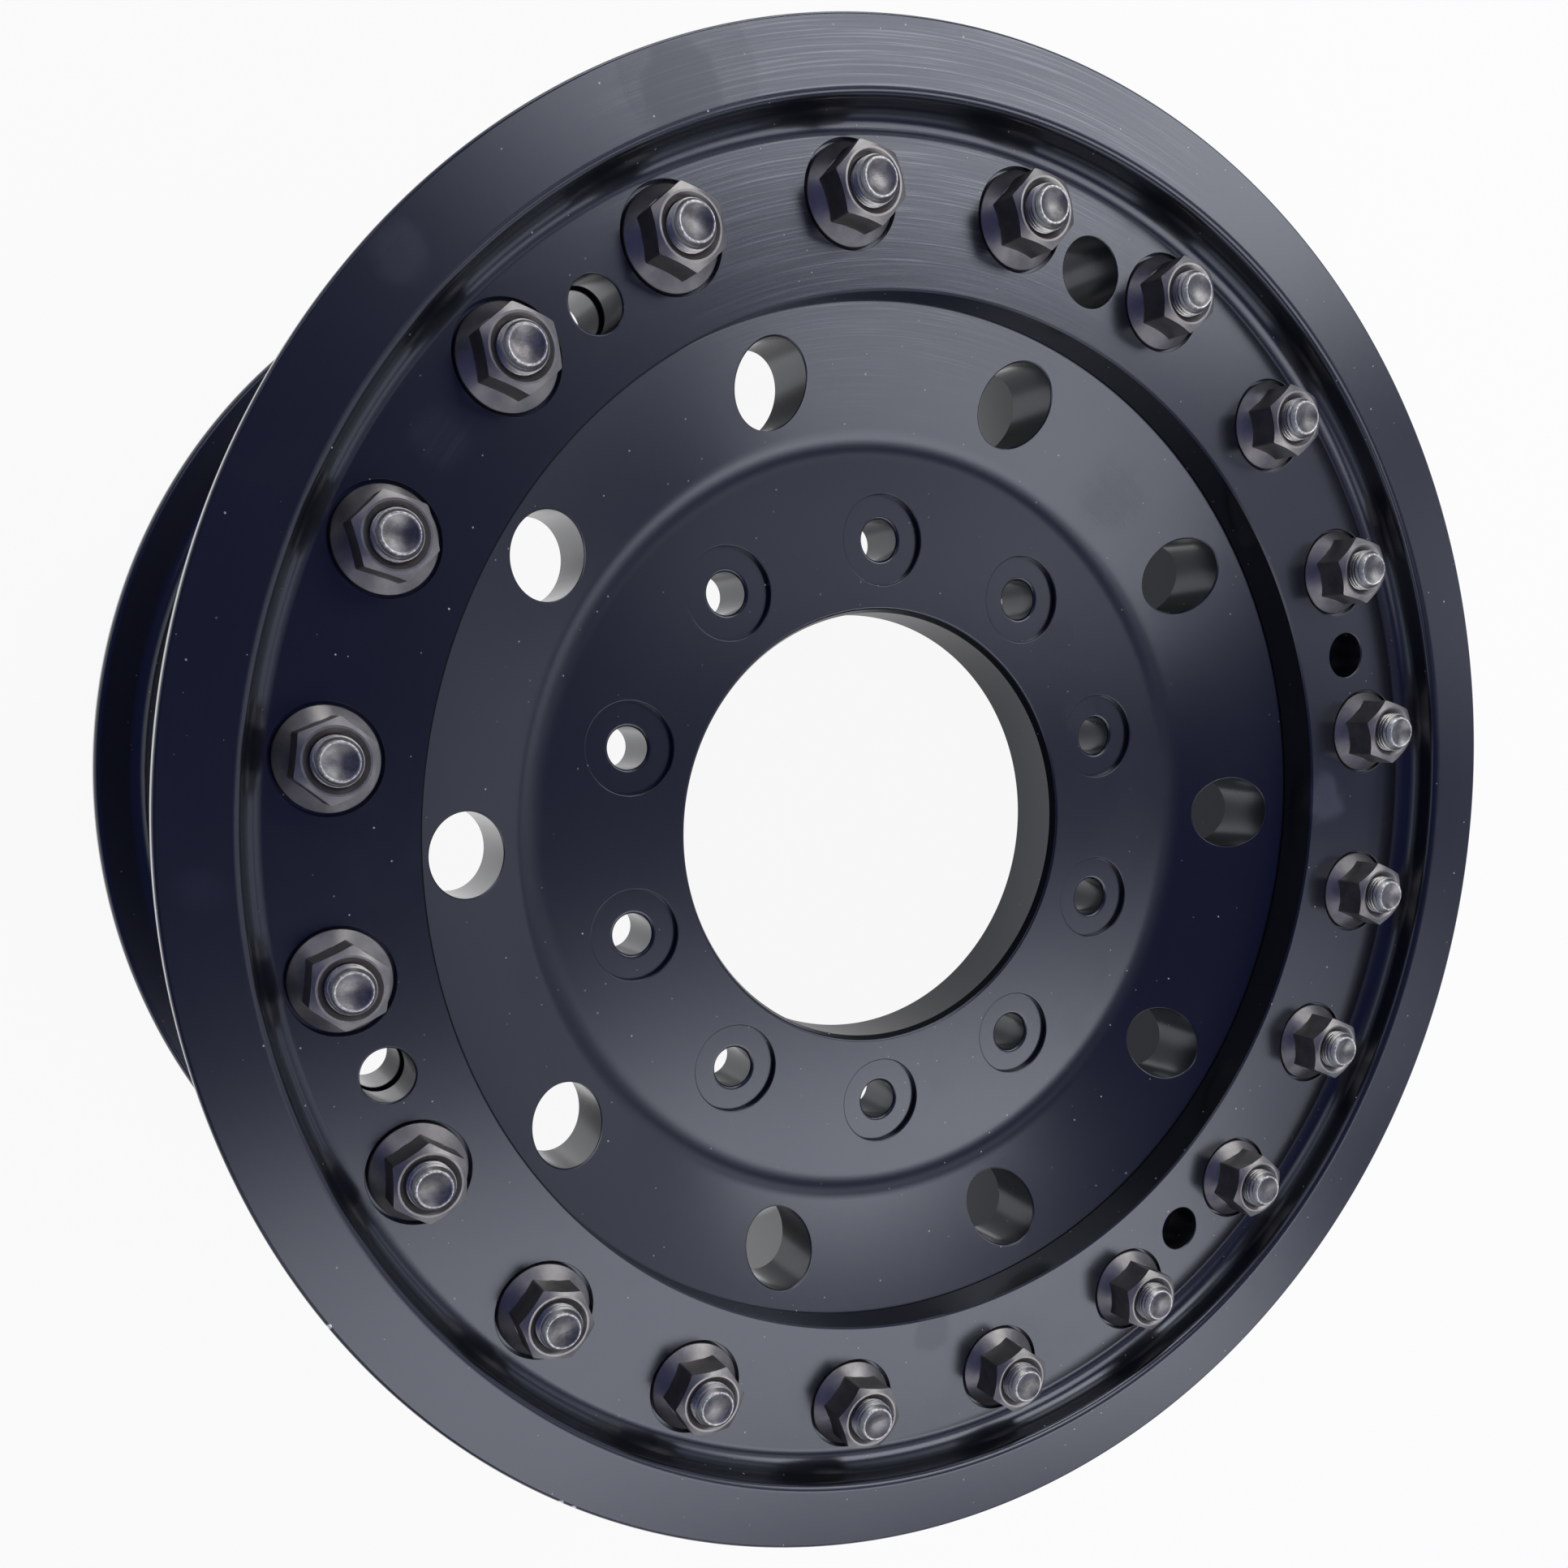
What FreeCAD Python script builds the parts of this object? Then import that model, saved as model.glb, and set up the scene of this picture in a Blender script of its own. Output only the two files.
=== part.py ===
import FreeCAD
import Part
import Sketcher
import math
import os

# Super single wheel: a front rim half bolted to a rear rim half through twenty pressed studs.
# Frame: origin on the wheel axis at the hub mounting face, +Z towards the outer side, +Y through
# the top lug hole. Lengths are millimetres, angles are degrees counted anticlockwise from +X.

V = FreeCAD.Vector

DRIVING = {
    # hub disc
    "hub_bore_radius": 85.05,
    "hub_thickness": 26.5,
    "hub_lead_radial": 1.4,
    "hub_lead_axial": 3.4,
    "pad_margin": 18.8,
    "pad_back_step": 1.5,
    "pad_blend_radius": 25.0,
    # lug holes
    "lug_count": 10,
    "lug_circle_radius": 112.5,
    "lug_hole_radius": 7.9,
    "lug_hole_chamfer": 1.0,
    "lug_seat_radius": 17.2,
    "lug_seat_depth": 2.2,
    # hand holes in the cone
    "hand_count": 10,
    "hand_land_distance": 22.9,
    "hand_hole_radius": 15.1,
    "hand_edge_round": 0.6,
    # bolting land, where the two halves meet
    "mating_height": 47.8,
    "land_inner_step": 0.9,
    "land_thickness": 23.5,
    "land_back_step": 5.1,
    # barrel of the rear half
    "barrel_drop": 6.0,
    "barrel_wall": 8.0,
    "barrel_corner_round": 4.0,
    "skirt_wall": 7.0,
    "spigot_length": 13.8,
    "spigot_clearance": 0.2,
    "spigot_lead": 1.0,
    "shoulder_width": 6.0,
    "shoulder_slope": 30.0,
    "mouth_flare_depth": 31.7,
    "mouth_wall": 5.0,
    # tyre seats and flanges, alike on both halves
    "rim_width": 279.4,
    "bead_seat_width": 36.0,
    "bead_seat_taper": 5.0,
    "bead_corner_round": 8.0,
    "flange_radius": 277.4,
    "flange_height": 21.9,
    "flange_thickness": 9.0,
    "flange_front_round": 1.2,
    "flange_tyre_round": 3.0,
    # ring and lip of the front half
    "ring_inner_margin": 31.2,
    "ring_thickness": 16.7,
    "ring_edge_chamfer": 0.7,
    "lip_height": 15.2,
    "lip_wall": 3.4,
    "lip_root_round": 8.0,
    "lip_crest_round": 3.0,
    # seal between the halves
    "seal_groove_inset": 7.9,
    "seal_groove_width": 6.2,
    "seal_groove_depth": 4.1,
    "seal_side_gap": 0.15,
    "seal_bevel": 1.2,
    # studs and flange nuts
    "stud_count": 20,
    "stud_lip_distance": 26.4,
    "first_stud_angle": 99.0,
    "stud_radius": 8.0,
    "stud_press_radius": 8.5,
    "stud_press_length": 20.0,
    "stud_head_radius": 11.5,
    "stud_head_height": 6.0,
    "stud_head_chamfer": 0.8,
    "stud_end_length": 5.0,
    "stud_end_chamfer": 2.0,
    "stud_dish_radius": 5.2,
    "stud_dish_depth": 0.9,
    "stud_hole_clearance": 0.75,
    "nut_seat_depth": 3.0,
    "nut_seat_radius": 18.0,
    "nut_height": 18.8,
    "nut_width": 24.0,
    "nut_flange_radius": 16.95,
    "nut_flange_edge": 2.6,
    "nut_cone_height": 6.2,
    "nut_cone_radius": 12.2,
    "nut_foot_chamfer": 0.5,
    "nut_top_radius": 10.6,
    "nut_top_slope": 30.0,
    "nut_bore_clearance": 0.1,
    "nut_mouth_radius": 9.7,
    # jacking screw holes and valve hole
    "jack_circle_inset": 5.3,
    "jack_first_angle": 18.0,
    "jack_second_angle": 126.0,
    "jack_hole_radius": 9.2,
    "jack_hole_chamfer": 0.6,
    "jack_back_radius": 8.5,
    "jack_countersink": 4.5,
    "valve_circle_inset": 6.5,
    "valve_angle": 72.0,
    "valve_hole_radius": 12.55,
    "valve_hole_chamfer": 0.5,
}

# Where the flats of each nut stopped when it was tightened, in degrees.
NUT_TURNS = (19, 17, 9, 12, 17, 13, 6, 7, 49, 5, 53, 18, 31, 19, 58, 52, 51, 13, 10, 11)


# A size knows its number and the sheet formula that gives it.
class Size:
    def __init__(self, value, text):
        self.value = value
        self.text = text

    def __add__(self, other):
        other = as_size(other)
        return Size(self.value + other.value, "(" + self.text + " + " + other.text + ")")

    def __sub__(self, other):
        other = as_size(other)
        return Size(self.value - other.value, "(" + self.text + " - " + other.text + ")")

    def __mul__(self, other):
        other = as_size(other)
        return Size(self.value * other.value, "(" + self.text + " * " + other.text + ")")

    def __truediv__(self, other):
        other = as_size(other)
        return Size(self.value / other.value, "(" + self.text + " / " + other.text + ")")

    def __neg__(self):
        return Size(-self.value, "(-1 * " + self.text + ")")


def as_size(number):
    if isinstance(number, Size):
        return number
    return Size(number, repr(number))


def tangent(angle):
    return Size(math.tan(math.radians(angle.value)), "tan(" + angle.text + " * 1 deg)")


def cosine(angle):
    return Size(math.cos(math.radians(angle.value)), "cos(" + angle.text + " * 1 deg)")


def sine(angle):
    return Size(math.sin(math.radians(angle.value)), "sin(" + angle.text + " * 1 deg)")


doc = FreeCAD.newDocument("super_single_wheel")


def fill_sheet(values):
    sheet = doc.addObject("Spreadsheet::Sheet", "Sizes")
    for row, (name, value) in enumerate(values.items(), start=1):
        cell = "A" + str(row)
        sheet.set(cell, str(value))
        sheet.setAlias(cell, name)
    doc.recompute()


fill_sheet(DRIVING)


def size(name):
    return Size(float(DRIVING[name]), "Sizes." + name)


# Heights that several pieces share.
zero = as_size(0)
mating = size("mating_height")
hubFront = size("hub_thickness")
landBack = mating - size("land_thickness")
ringFace = mating + size("ring_thickness")
lipFace = ringFace + size("lip_height")
frontTyreFace = lipFace - size("flange_thickness")
rearTyreFace = frontTyreFace - size("rim_width")
rearFace = rearTyreFace - size("flange_thickness")
spigotFoot = mating - size("spigot_length")
nutSeat = ringFace - size("nut_seat_depth")
studTip = nutSeat + size("nut_height") + size("stud_end_length")
seatDrop = tangent(size("bead_seat_taper"))

# Radii that several pieces share, from the flanges inwards.
rimEdge = size("flange_radius")
beadSeat = rimEdge - size("flange_height")
lipWall = beadSeat - size("lip_wall")
skirt = beadSeat - size("skirt_wall")
spigot = skirt - size("spigot_clearance")
barrelMouth = beadSeat - size("mouth_wall")
barrelOuter = beadSeat - size("barrel_drop")
barrel = barrelOuter - size("barrel_wall")
sealGroove = spigot - size("seal_groove_inset")
studCircle = lipWall - size("stud_lip_distance")
jackCircle = studCircle - size("jack_circle_inset")
valveCircle = studCircle - size("valve_circle_inset")
ringInner = studCircle - size("ring_inner_margin")
landInner = ringInner + size("land_inner_step")
landBackInner = landInner + size("land_back_step")
handCircle = landInner - size("hand_land_distance")

# The pad of the hub disc reaches past the lug seats.
padEdge = size("lug_circle_radius") + size("lug_seat_radius") + size("pad_margin")
padBackEdge = padEdge - size("pad_back_step")


def origin_plane(body, role):
    for feature in body.Origin.OriginFeatures:
        if feature.Role == role:
            return feature
    raise ValueError(role)


def new_body(name):
    body = doc.addObject("PartDesign::Body", name)
    body.Label = name
    return body


def new_sketch(body, name, role, height=None):
    sketch = body.newObject("Sketcher::SketchObject", name)
    sketch.AttachmentSupport = [(origin_plane(body, role), "")]
    sketch.MapMode = "FlatFace"
    if height is not None:
        sketch.AttachmentOffset = FreeCAD.Placement(V(0, 0, height.value), FreeCAD.Rotation())
        sketch.setExpression("AttachmentOffset.Base.z", height.text)
    return sketch


def hold_point(sketch, geometry, point, across, along, name):
    places = (("DistanceX", across, -2, "across"), ("DistanceY", along, -1, "along"))
    for kind, place, axis, word in places:
        if place.text == "0":
            sketch.addConstraint(Sketcher.Constraint("PointOnObject", geometry, point, axis))
            continue
        index = sketch.addConstraint(
            Sketcher.Constraint(kind, -1, 1, geometry, point, place.value))
        sketch.renameConstraint(index, name + "_" + word)
        sketch.setExpression("Constraints." + name + "_" + word, place.text)


def draw_outline(sketch, corners):
    count = len(corners)
    for index, (across, along) in enumerate(corners):
        toAcross, toAlong = corners[(index + 1) % count]
        start = V(across.value, along.value, 0)
        end = V(toAcross.value, toAlong.value, 0)
        sketch.addGeometry(Part.LineSegment(start, end), False)
    for index in range(count):
        sketch.addConstraint(Sketcher.Constraint("Coincident", index, 2, (index + 1) % count, 1))
    for index, (across, along) in enumerate(corners):
        hold_point(sketch, index, 1, across, along, "corner" + str(index + 1))


def draw_circle(sketch, across, along, radius):
    index = sketch.addGeometry(
        Part.Circle(V(across.value, along.value, 0), V(0, 0, 1), radius.value), False)
    held = sketch.addConstraint(Sketcher.Constraint("Radius", index, radius.value))
    name = "circle" + str(index + 1)
    sketch.renameConstraint(held, name)
    sketch.setExpression("Constraints." + name, radius.text)
    hold_point(sketch, index, 3, across, along, name)


# A solid turned about the wheel axis or the fastener axis from corners (radius, height).
def turn(body, name, corners):
    sketch = new_sketch(body, name + "_outline", "XZ_Plane")
    draw_outline(sketch, corners)
    feature = body.newObject("PartDesign::Revolution", name)
    feature.Profile = sketch
    feature.ReferenceAxis = (sketch, ["V_Axis"])
    feature.Angle = 360
    doc.recompute()
    return feature


def turn_away(body, name, corners):
    before = body.Shape.Volume
    sketch = new_sketch(body, name + "_outline", "XZ_Plane")
    draw_outline(sketch, corners)
    feature = body.newObject("PartDesign::Groove", name)
    feature.Profile = sketch
    feature.ReferenceAxis = (sketch, ["V_Axis"])
    feature.Angle = 360
    doc.recompute()
    check_cut(feature, before)
    return feature


def check_cut(feature, before):
    if feature.Shape.Volume >= before:
        raise ValueError(feature.Name + " cut nothing")


# Round pockets sunk straight down from a height, through everything when no depth is given.
def sink(body, name, height, places, radius, depth=None):
    before = body.Shape.Volume
    sketch = new_sketch(body, name + "_place", "XY_Plane", height)
    for across, along in places:
        draw_circle(sketch, across, along, radius)
    feature = body.newObject("PartDesign::Pocket", name)
    feature.Profile = sketch
    if depth is None:
        feature.Type = "ThroughAll"
    else:
        feature.Type = "Length"
        feature.Length = depth.value
        feature.setExpression("Length", depth.text)
    doc.recompute()
    check_cut(feature, before)
    return feature


def repeat(body, name, features, countName):
    pattern = body.newObject("PartDesign::PolarPattern", name)
    pattern.Originals = features
    pattern.Axis = (origin_plane(body, "Z_Axis"), [""])
    pattern.Angle = 360
    pattern.Occurrences = int(DRIVING[countName])
    pattern.setExpression("Occurrences", "Sizes." + countName)
    body.Tip = pattern
    doc.recompute()
    return pattern


def on_circle(radius, angle):
    return radius * cosine(angle), radius * sine(angle)


def near(first, second):
    return abs(first - second) < 0.01


# Round edges of the body's last solid: about the axis, or about any line parallel to it.
def turned_edges(body, radius, height):
    found = []
    for index, edge in enumerate(body.Shape.Edges, start=1):
        curve = edge.Curve
        if not hasattr(curve, "Radius"):
            continue
        centre = curve.Center
        onAxis = near(centre.x, 0) and near(centre.y, 0)
        if onAxis and near(curve.Radius, radius.value) and near(centre.z, height.value):
            found.append("Edge" + str(index))
    return found


def hole_edges(body, circleRadius, holeRadius, height):
    found = []
    for index, edge in enumerate(body.Shape.Edges, start=1):
        curve = edge.Curve
        if not hasattr(curve, "Radius"):
            continue
        centre = curve.Center
        offset = math.hypot(centre.x, centre.y)
        placed = near(offset, circleRadius.value) and near(centre.z, height.value)
        if placed and near(curve.Radius, holeRadius.value):
            found.append("Edge" + str(index))
    return found


# Edges round the upper mouths of a circle of holes that come out through a sloping face.
def hole_mouths(body, circleRadius, holeRadius, low):
    mouths = []
    for face in body.Shape.Faces:
        surface = face.Surface
        if not isinstance(surface, Part.Cylinder):
            continue
        offset = math.hypot(surface.Center.x, surface.Center.y)
        if near(offset, circleRadius.value) and near(surface.Radius, holeRadius.value):
            mouths += [edge for edge in face.Edges if edge.BoundBox.ZMin > low.value - 0.01]
    found = []
    for index, edge in enumerate(body.Shape.Edges, start=1):
        if any(edge.isSame(mouth) for mouth in mouths):
            found.append("Edge" + str(index))
    return found


def dress(body, kind, name, edges, amount, second=None):
    if not edges:
        raise ValueError(name + " found no edge")
    base = body.Tip
    feature = body.newObject("PartDesign::" + kind, name)
    feature.Base = (base, edges)
    amountName = "Radius" if kind == "Fillet" else "Size"
    if second is not None:
        feature.ChamferType = "Two distances"
        feature.Size2 = second.value
        feature.setExpression("Size2", second.text)
    setattr(feature, amountName, amount.value)
    feature.setExpression(amountName, amount.text)
    body.Tip = feature
    doc.recompute()
    return feature


def round_edges(body, name, edges, radius):
    return dress(body, "Fillet", name, edges, radius)


def bevel_edges(body, name, edges, width):
    return dress(body, "Chamfer", name, edges, width)


def stud_place():
    return on_circle(studCircle, size("first_stud_angle"))


# The four jacking screw holes are two pairs, each pair straight across the wheel.
def jack_places():
    places = []
    for name in ("jack_first_angle", "jack_second_angle"):
        for across in (0, 180):
            places.append(on_circle(jackCircle, size(name) + across))
    return places


def valve_place():
    return on_circle(valveCircle, size("valve_angle"))


# Outline of the rear half, from the bore round the back of the disc, along the inside of the
# barrel to the rear flange, and back along the tyre side to the bolting land and the cone.
def rear_outline():
    bore = size("hub_bore_radius")
    seatEnd = beadSeat - size("bead_seat_width") * seatDrop
    slope = tangent(size("shoulder_slope"))
    seatEndHeight = rearTyreFace + size("bead_seat_width")
    shoulder = beadSeat - (frontTyreFace - spigotFoot) * seatDrop
    shoulderLow = spigotFoot - size("shoulder_width")
    grooveIn = sealGroove - size("seal_groove_width") / 2
    grooveOut = sealGroove + size("seal_groove_width") / 2
    grooveFloor = mating - size("seal_groove_depth")
    return [
        (bore, zero),
        (padBackEdge, zero),
        (landBackInner, landBack),
        (barrel, landBack),
        (barrel, rearFace + size("mouth_flare_depth")),
        (barrelMouth, rearFace),
        (rimEdge, rearFace),
        (rimEdge, rearTyreFace),
        (beadSeat, rearTyreFace),
        (seatEnd, seatEndHeight),
        (barrelOuter, seatEndHeight + (seatEnd - barrelOuter) / slope),
        (barrelOuter, shoulderLow - (shoulder - barrelOuter) / slope),
        (shoulder, shoulderLow),
        (shoulder, spigotFoot),
        (spigot, spigotFoot),
        (spigot, mating),
        (grooveOut, mating),
        (grooveOut, grooveFloor),
        (grooveIn, grooveFloor),
        (grooveIn, mating),
        (landInner, mating),
        (padEdge, hubFront),
        (bore, hubFront),
    ]


def round_rear_turning(body):
    blend = size("pad_blend_radius")
    front = turned_edges(body, padEdge, hubFront)
    back = turned_edges(body, padBackEdge, zero)
    land = turned_edges(body, landBackInner, landBack)
    round_edges(body, "disc_blends", front + back + land, blend)
    corner = turned_edges(body, barrel, landBack)
    round_edges(body, "barrel_corner", corner, size("barrel_corner_round"))
    bead = turned_edges(body, beadSeat, rearTyreFace)
    round_edges(body, "rear_bead_corner", bead, size("bead_corner_round"))
    tyreSide = turned_edges(body, rimEdge, rearTyreFace)
    mouthEdge = turned_edges(body, barrelMouth, rearFace)
    round_edges(body, "rear_flange_rounds", tyreSide + mouthEdge, size("flange_tyre_round"))
    outside = turned_edges(body, rimEdge, rearFace)
    round_edges(body, "rear_flange_edge", outside, size("flange_front_round"))
    spigotEdge = turned_edges(body, spigot, mating)
    bevel_edges(body, "spigot_lead_in", spigotEdge, size("spigot_lead"))
    bore = turned_edges(body, size("hub_bore_radius"), hubFront)
    dress(body, "Chamfer", "bore_lead_in", bore, size("hub_lead_radial"), size("hub_lead_axial"))


def cut_rear_holes(body):
    lugPlace = [(zero, size("lug_circle_radius"))]
    lugHole = sink(body, "lug_hole", hubFront, lugPlace, size("lug_hole_radius"))
    lugSeat = sink(body, "lug_seat", hubFront, lugPlace, size("lug_seat_radius"),
                   size("lug_seat_depth"))
    repeat(body, "lug_holes", [lugHole, lugSeat], "lug_count")
    handAngle = as_size(90) + as_size(180) / size("hand_count")
    handPlace = on_circle(handCircle, handAngle)
    handHole = sink(body, "hand_hole", mating, [handPlace], size("hand_hole_radius"))
    repeat(body, "hand_holes", [handHole], "hand_count")
    studHole = sink(body, "press_hole", mating, [stud_place()], size("stud_press_radius"))
    repeat(body, "press_holes", [studHole], "stud_count")
    sink(body, "jack_back_holes", mating, jack_places(), size("jack_back_radius"))
    sink(body, "valve_back_hole", mating, [valve_place()], size("valve_hole_radius"))


def dress_rear_holes(body):
    lugRing = size("lug_circle_radius")
    lugRadius = size("lug_hole_radius")
    floor = hubFront - size("lug_seat_depth")
    lugEdges = hole_edges(body, lugRing, lugRadius, floor)
    lugEdges += hole_edges(body, lugRing, lugRadius, zero)
    bevel_edges(body, "lug_hole_edges", lugEdges, size("lug_hole_chamfer"))
    handEdges = hole_mouths(body, handCircle, size("hand_hole_radius"), hubFront)
    round_edges(body, "hand_hole_edges", handEdges, size("hand_edge_round"))
    jackEdges = hole_edges(body, jackCircle, size("jack_back_radius"), mating)
    bevel_edges(body, "jack_countersinks", jackEdges, size("jack_countersink"))


def make_rear_half():
    body = new_body("rear_rim_half")
    turn(body, "rear_turning", rear_outline())
    round_rear_turning(body)
    cut_rear_holes(body)
    dress_rear_holes(body)
    return body


# Outline of the front half: ring with the nut seats, lip, and the front tyre seat whose skirt
# slides over the spigot of the rear half.
def front_outline():
    skirtFoot = spigotFoot + size("spigot_clearance")
    seatEnd = beadSeat - (frontTyreFace - skirtFoot) * seatDrop
    return [
        (ringInner, mating),
        (skirt, mating),
        (skirt, skirtFoot),
        (seatEnd, skirtFoot),
        (beadSeat, frontTyreFace),
        (rimEdge, frontTyreFace),
        (rimEdge, lipFace),
        (lipWall, lipFace),
        (lipWall, ringFace),
        (ringInner, ringFace),
    ]


def round_front_turning(body):
    root = turned_edges(body, lipWall, ringFace)
    round_edges(body, "lip_root", root, size("lip_root_round"))
    bead = turned_edges(body, beadSeat, frontTyreFace)
    round_edges(body, "front_bead_corner", bead, size("bead_corner_round"))
    crest = turned_edges(body, lipWall, lipFace)
    round_edges(body, "lip_crest", crest, size("lip_crest_round"))
    tyreSide = turned_edges(body, rimEdge, frontTyreFace)
    round_edges(body, "front_flange_back", tyreSide, size("flange_tyre_round"))
    outside = turned_edges(body, rimEdge, lipFace)
    round_edges(body, "front_flange_edge", outside, size("flange_front_round"))
    innerEdges = turned_edges(body, ringInner, ringFace)
    innerEdges += turned_edges(body, ringInner, mating)
    bevel_edges(body, "ring_edges", innerEdges, size("ring_edge_chamfer"))


def cut_front_holes(body):
    studRadius = size("stud_radius") + size("stud_hole_clearance")
    studHole = sink(body, "stud_hole", ringFace, [stud_place()], studRadius)
    nutSink = sink(body, "nut_sink", ringFace, [stud_place()], size("nut_seat_radius"),
                   size("nut_seat_depth"))
    repeat(body, "stud_holes", [studHole, nutSink], "stud_count")
    sink(body, "jack_holes", ringFace, jack_places(), size("jack_hole_radius"))
    sink(body, "valve_hole", ringFace, [valve_place()], size("valve_hole_radius"))
    jackEdges = hole_edges(body, jackCircle, size("jack_hole_radius"), ringFace)
    bevel_edges(body, "jack_hole_edges", jackEdges, size("jack_hole_chamfer"))
    valveEdges = hole_edges(body, valveCircle, size("valve_hole_radius"), ringFace)
    bevel_edges(body, "valve_hole_edge", valveEdges, size("valve_hole_chamfer"))


def make_front_half():
    body = new_body("front_rim_half")
    turn(body, "front_turning", front_outline())
    round_front_turning(body)
    cut_front_holes(body)
    return body


# The seal is drawn squeezed into its groove, flat against the groove floor and the front half.
def make_seal():
    body = new_body("o_ring_seal")
    halfWidth = size("seal_groove_width") / 2 - size("seal_side_gap")
    inside = sealGroove - halfWidth
    outside = sealGroove + halfWidth
    floor = mating - size("seal_groove_depth")
    turn(body, "seal_ring", [(inside, floor), (outside, floor), (outside, mating),
                             (inside, mating)])
    corners = []
    for radius in (inside, outside):
        for height in (floor, mating):
            corners += turned_edges(body, radius, height)
    bevel_edges(body, "seal_bevels", corners, size("seal_bevel"))
    return body


# A fastener stands on the bolt circle, its own zero at the height that it seats on.
def place_fastener(body, index, height, turnAngle):
    angle = size("first_stud_angle") - as_size(360 * index) / size("stud_count")
    across, along = on_circle(studCircle, angle)
    spin = FreeCAD.Rotation(V(0, 0, 1), turnAngle)
    body.Placement = FreeCAD.Placement(V(across.value, along.value, height.value), spin)
    body.setExpression("Placement.Base.x", across.text)
    body.setExpression("Placement.Base.y", along.text)
    body.setExpression("Placement.Base.z", height.text)


def make_stud(index):
    body = new_body("stud_" + str(index + 1).zfill(2))
    head = size("stud_head_radius")
    headChamfer = size("stud_head_chamfer")
    foot = -size("stud_head_height")
    press = size("stud_press_radius")
    pressTop = size("stud_press_length")
    shank = size("stud_radius")
    tip = studTip - landBack
    chamfer = size("stud_end_chamfer")
    turn(body, body.Name + "_turning", [
        (zero, foot),
        (head - headChamfer, foot),
        (head, foot + headChamfer),
        (head, zero),
        (press, zero),
        (press, pressTop),
        (shank, pressTop + (press - shank)),
        (shank, tip - chamfer),
        (shank - chamfer, tip),
        (size("stud_dish_radius"), tip),
        (zero, tip - size("stud_dish_depth")),
    ])
    place_fastener(body, index, landBack, 0)
    return body


def hexagon(width):
    corner = width / 2 / cosine(as_size(30))
    return [on_circle(corner, as_size(60 * step)) for step in range(6)]


def pad_hexagon(body, bore):
    sketch = new_sketch(body, body.Name + "_hexagon", "XY_Plane")
    draw_outline(sketch, hexagon(size("nut_width")))
    draw_circle(sketch, zero, zero, bore)
    feature = body.newObject("PartDesign::Pad", body.Name + "_hex")
    feature.Profile = sketch
    feature.Type = "Length"
    feature.Length = size("nut_height").value
    feature.setExpression("Length", size("nut_height").text)
    doc.recompute()


# Flange nut: a coned flange with a hexagon standing on it, its top corners turned off and the
# mouth of its thread countersunk.
def make_nut(index):
    body = new_body("flange_nut_" + str(index + 1).zfill(2))
    bore = size("stud_radius") + size("nut_bore_clearance")
    flange = size("nut_flange_radius")
    foot = size("nut_foot_chamfer")
    height = size("nut_height")
    mouth = size("nut_mouth_radius")
    top = size("nut_top_radius")
    far = size("nut_width")
    turn(body, body.Name + "_flange", [
        (bore, zero),
        (flange - foot, zero),
        (flange, foot),
        (flange, size("nut_flange_edge")),
        (size("nut_cone_radius"), size("nut_cone_height")),
        (bore, size("nut_cone_height")),
    ])
    pad_hexagon(body, bore)
    turn_away(body, body.Name + "_top", [
        (top, height),
        (far, height),
        (far, height - (far - top) * tangent(size("nut_top_slope"))),
    ])
    turn_away(body, body.Name + "_mouth", [
        (bore, height - (mouth - bore)),
        (mouth, height),
        (bore, height),
    ])
    # a flat of the hexagon faces the angle at which the nut stopped
    place_fastener(body, index, nutSeat, NUT_TURNS[index] + 30)
    return body


def make_pieces():
    pieces = [make_front_half(), make_rear_half(), make_seal()]
    count = int(DRIVING["stud_count"])
    for index in range(count):
        pieces.append(make_stud(index))
    for index in range(count):
        pieces.append(make_nut(index))
    return pieces


def check_objects():
    for item in doc.Objects:
        if "Invalid" in item.State or "Error" in item.State:
            raise ValueError(item.Name + " failed: " + str(item.State))


def write_pieces(pieces):
    os.makedirs("parts", exist_ok=True)
    for body in pieces:
        shape = body.Shape
        if shape.isNull() or not shape.isValid():
            raise ValueError(body.Label + " has no sound shape")
        shape.exportStep("parts/" + body.Label + ".step")
        print(body.Label, len(shape.Solids), "solid,", round(shape.Volume / 1000, 1), "cm3")


pieces = make_pieces()
doc.recompute()
check_objects()
write_pieces(pieces)
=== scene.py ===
import math
import bpy
from mathutils import Matrix, Vector


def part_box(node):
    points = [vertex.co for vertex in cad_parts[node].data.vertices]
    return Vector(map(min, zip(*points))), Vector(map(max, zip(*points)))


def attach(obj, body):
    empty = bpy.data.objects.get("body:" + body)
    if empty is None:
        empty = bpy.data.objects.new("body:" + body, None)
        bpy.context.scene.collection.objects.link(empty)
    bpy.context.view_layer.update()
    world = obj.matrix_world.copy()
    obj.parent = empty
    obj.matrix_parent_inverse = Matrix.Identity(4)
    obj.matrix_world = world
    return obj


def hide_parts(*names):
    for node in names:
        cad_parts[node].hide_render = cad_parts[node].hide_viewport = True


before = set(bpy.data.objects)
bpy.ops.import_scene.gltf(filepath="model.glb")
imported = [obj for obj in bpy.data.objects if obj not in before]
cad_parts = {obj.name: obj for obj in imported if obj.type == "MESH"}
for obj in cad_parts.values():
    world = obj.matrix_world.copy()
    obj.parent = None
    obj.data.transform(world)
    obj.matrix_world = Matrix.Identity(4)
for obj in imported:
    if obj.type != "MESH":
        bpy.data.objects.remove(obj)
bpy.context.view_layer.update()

# Super single wheel, dressed over its frame. Pieces are modelled in millimetres about the wheel
# axis, then shrunk into the frame's metres when they are finished.

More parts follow.
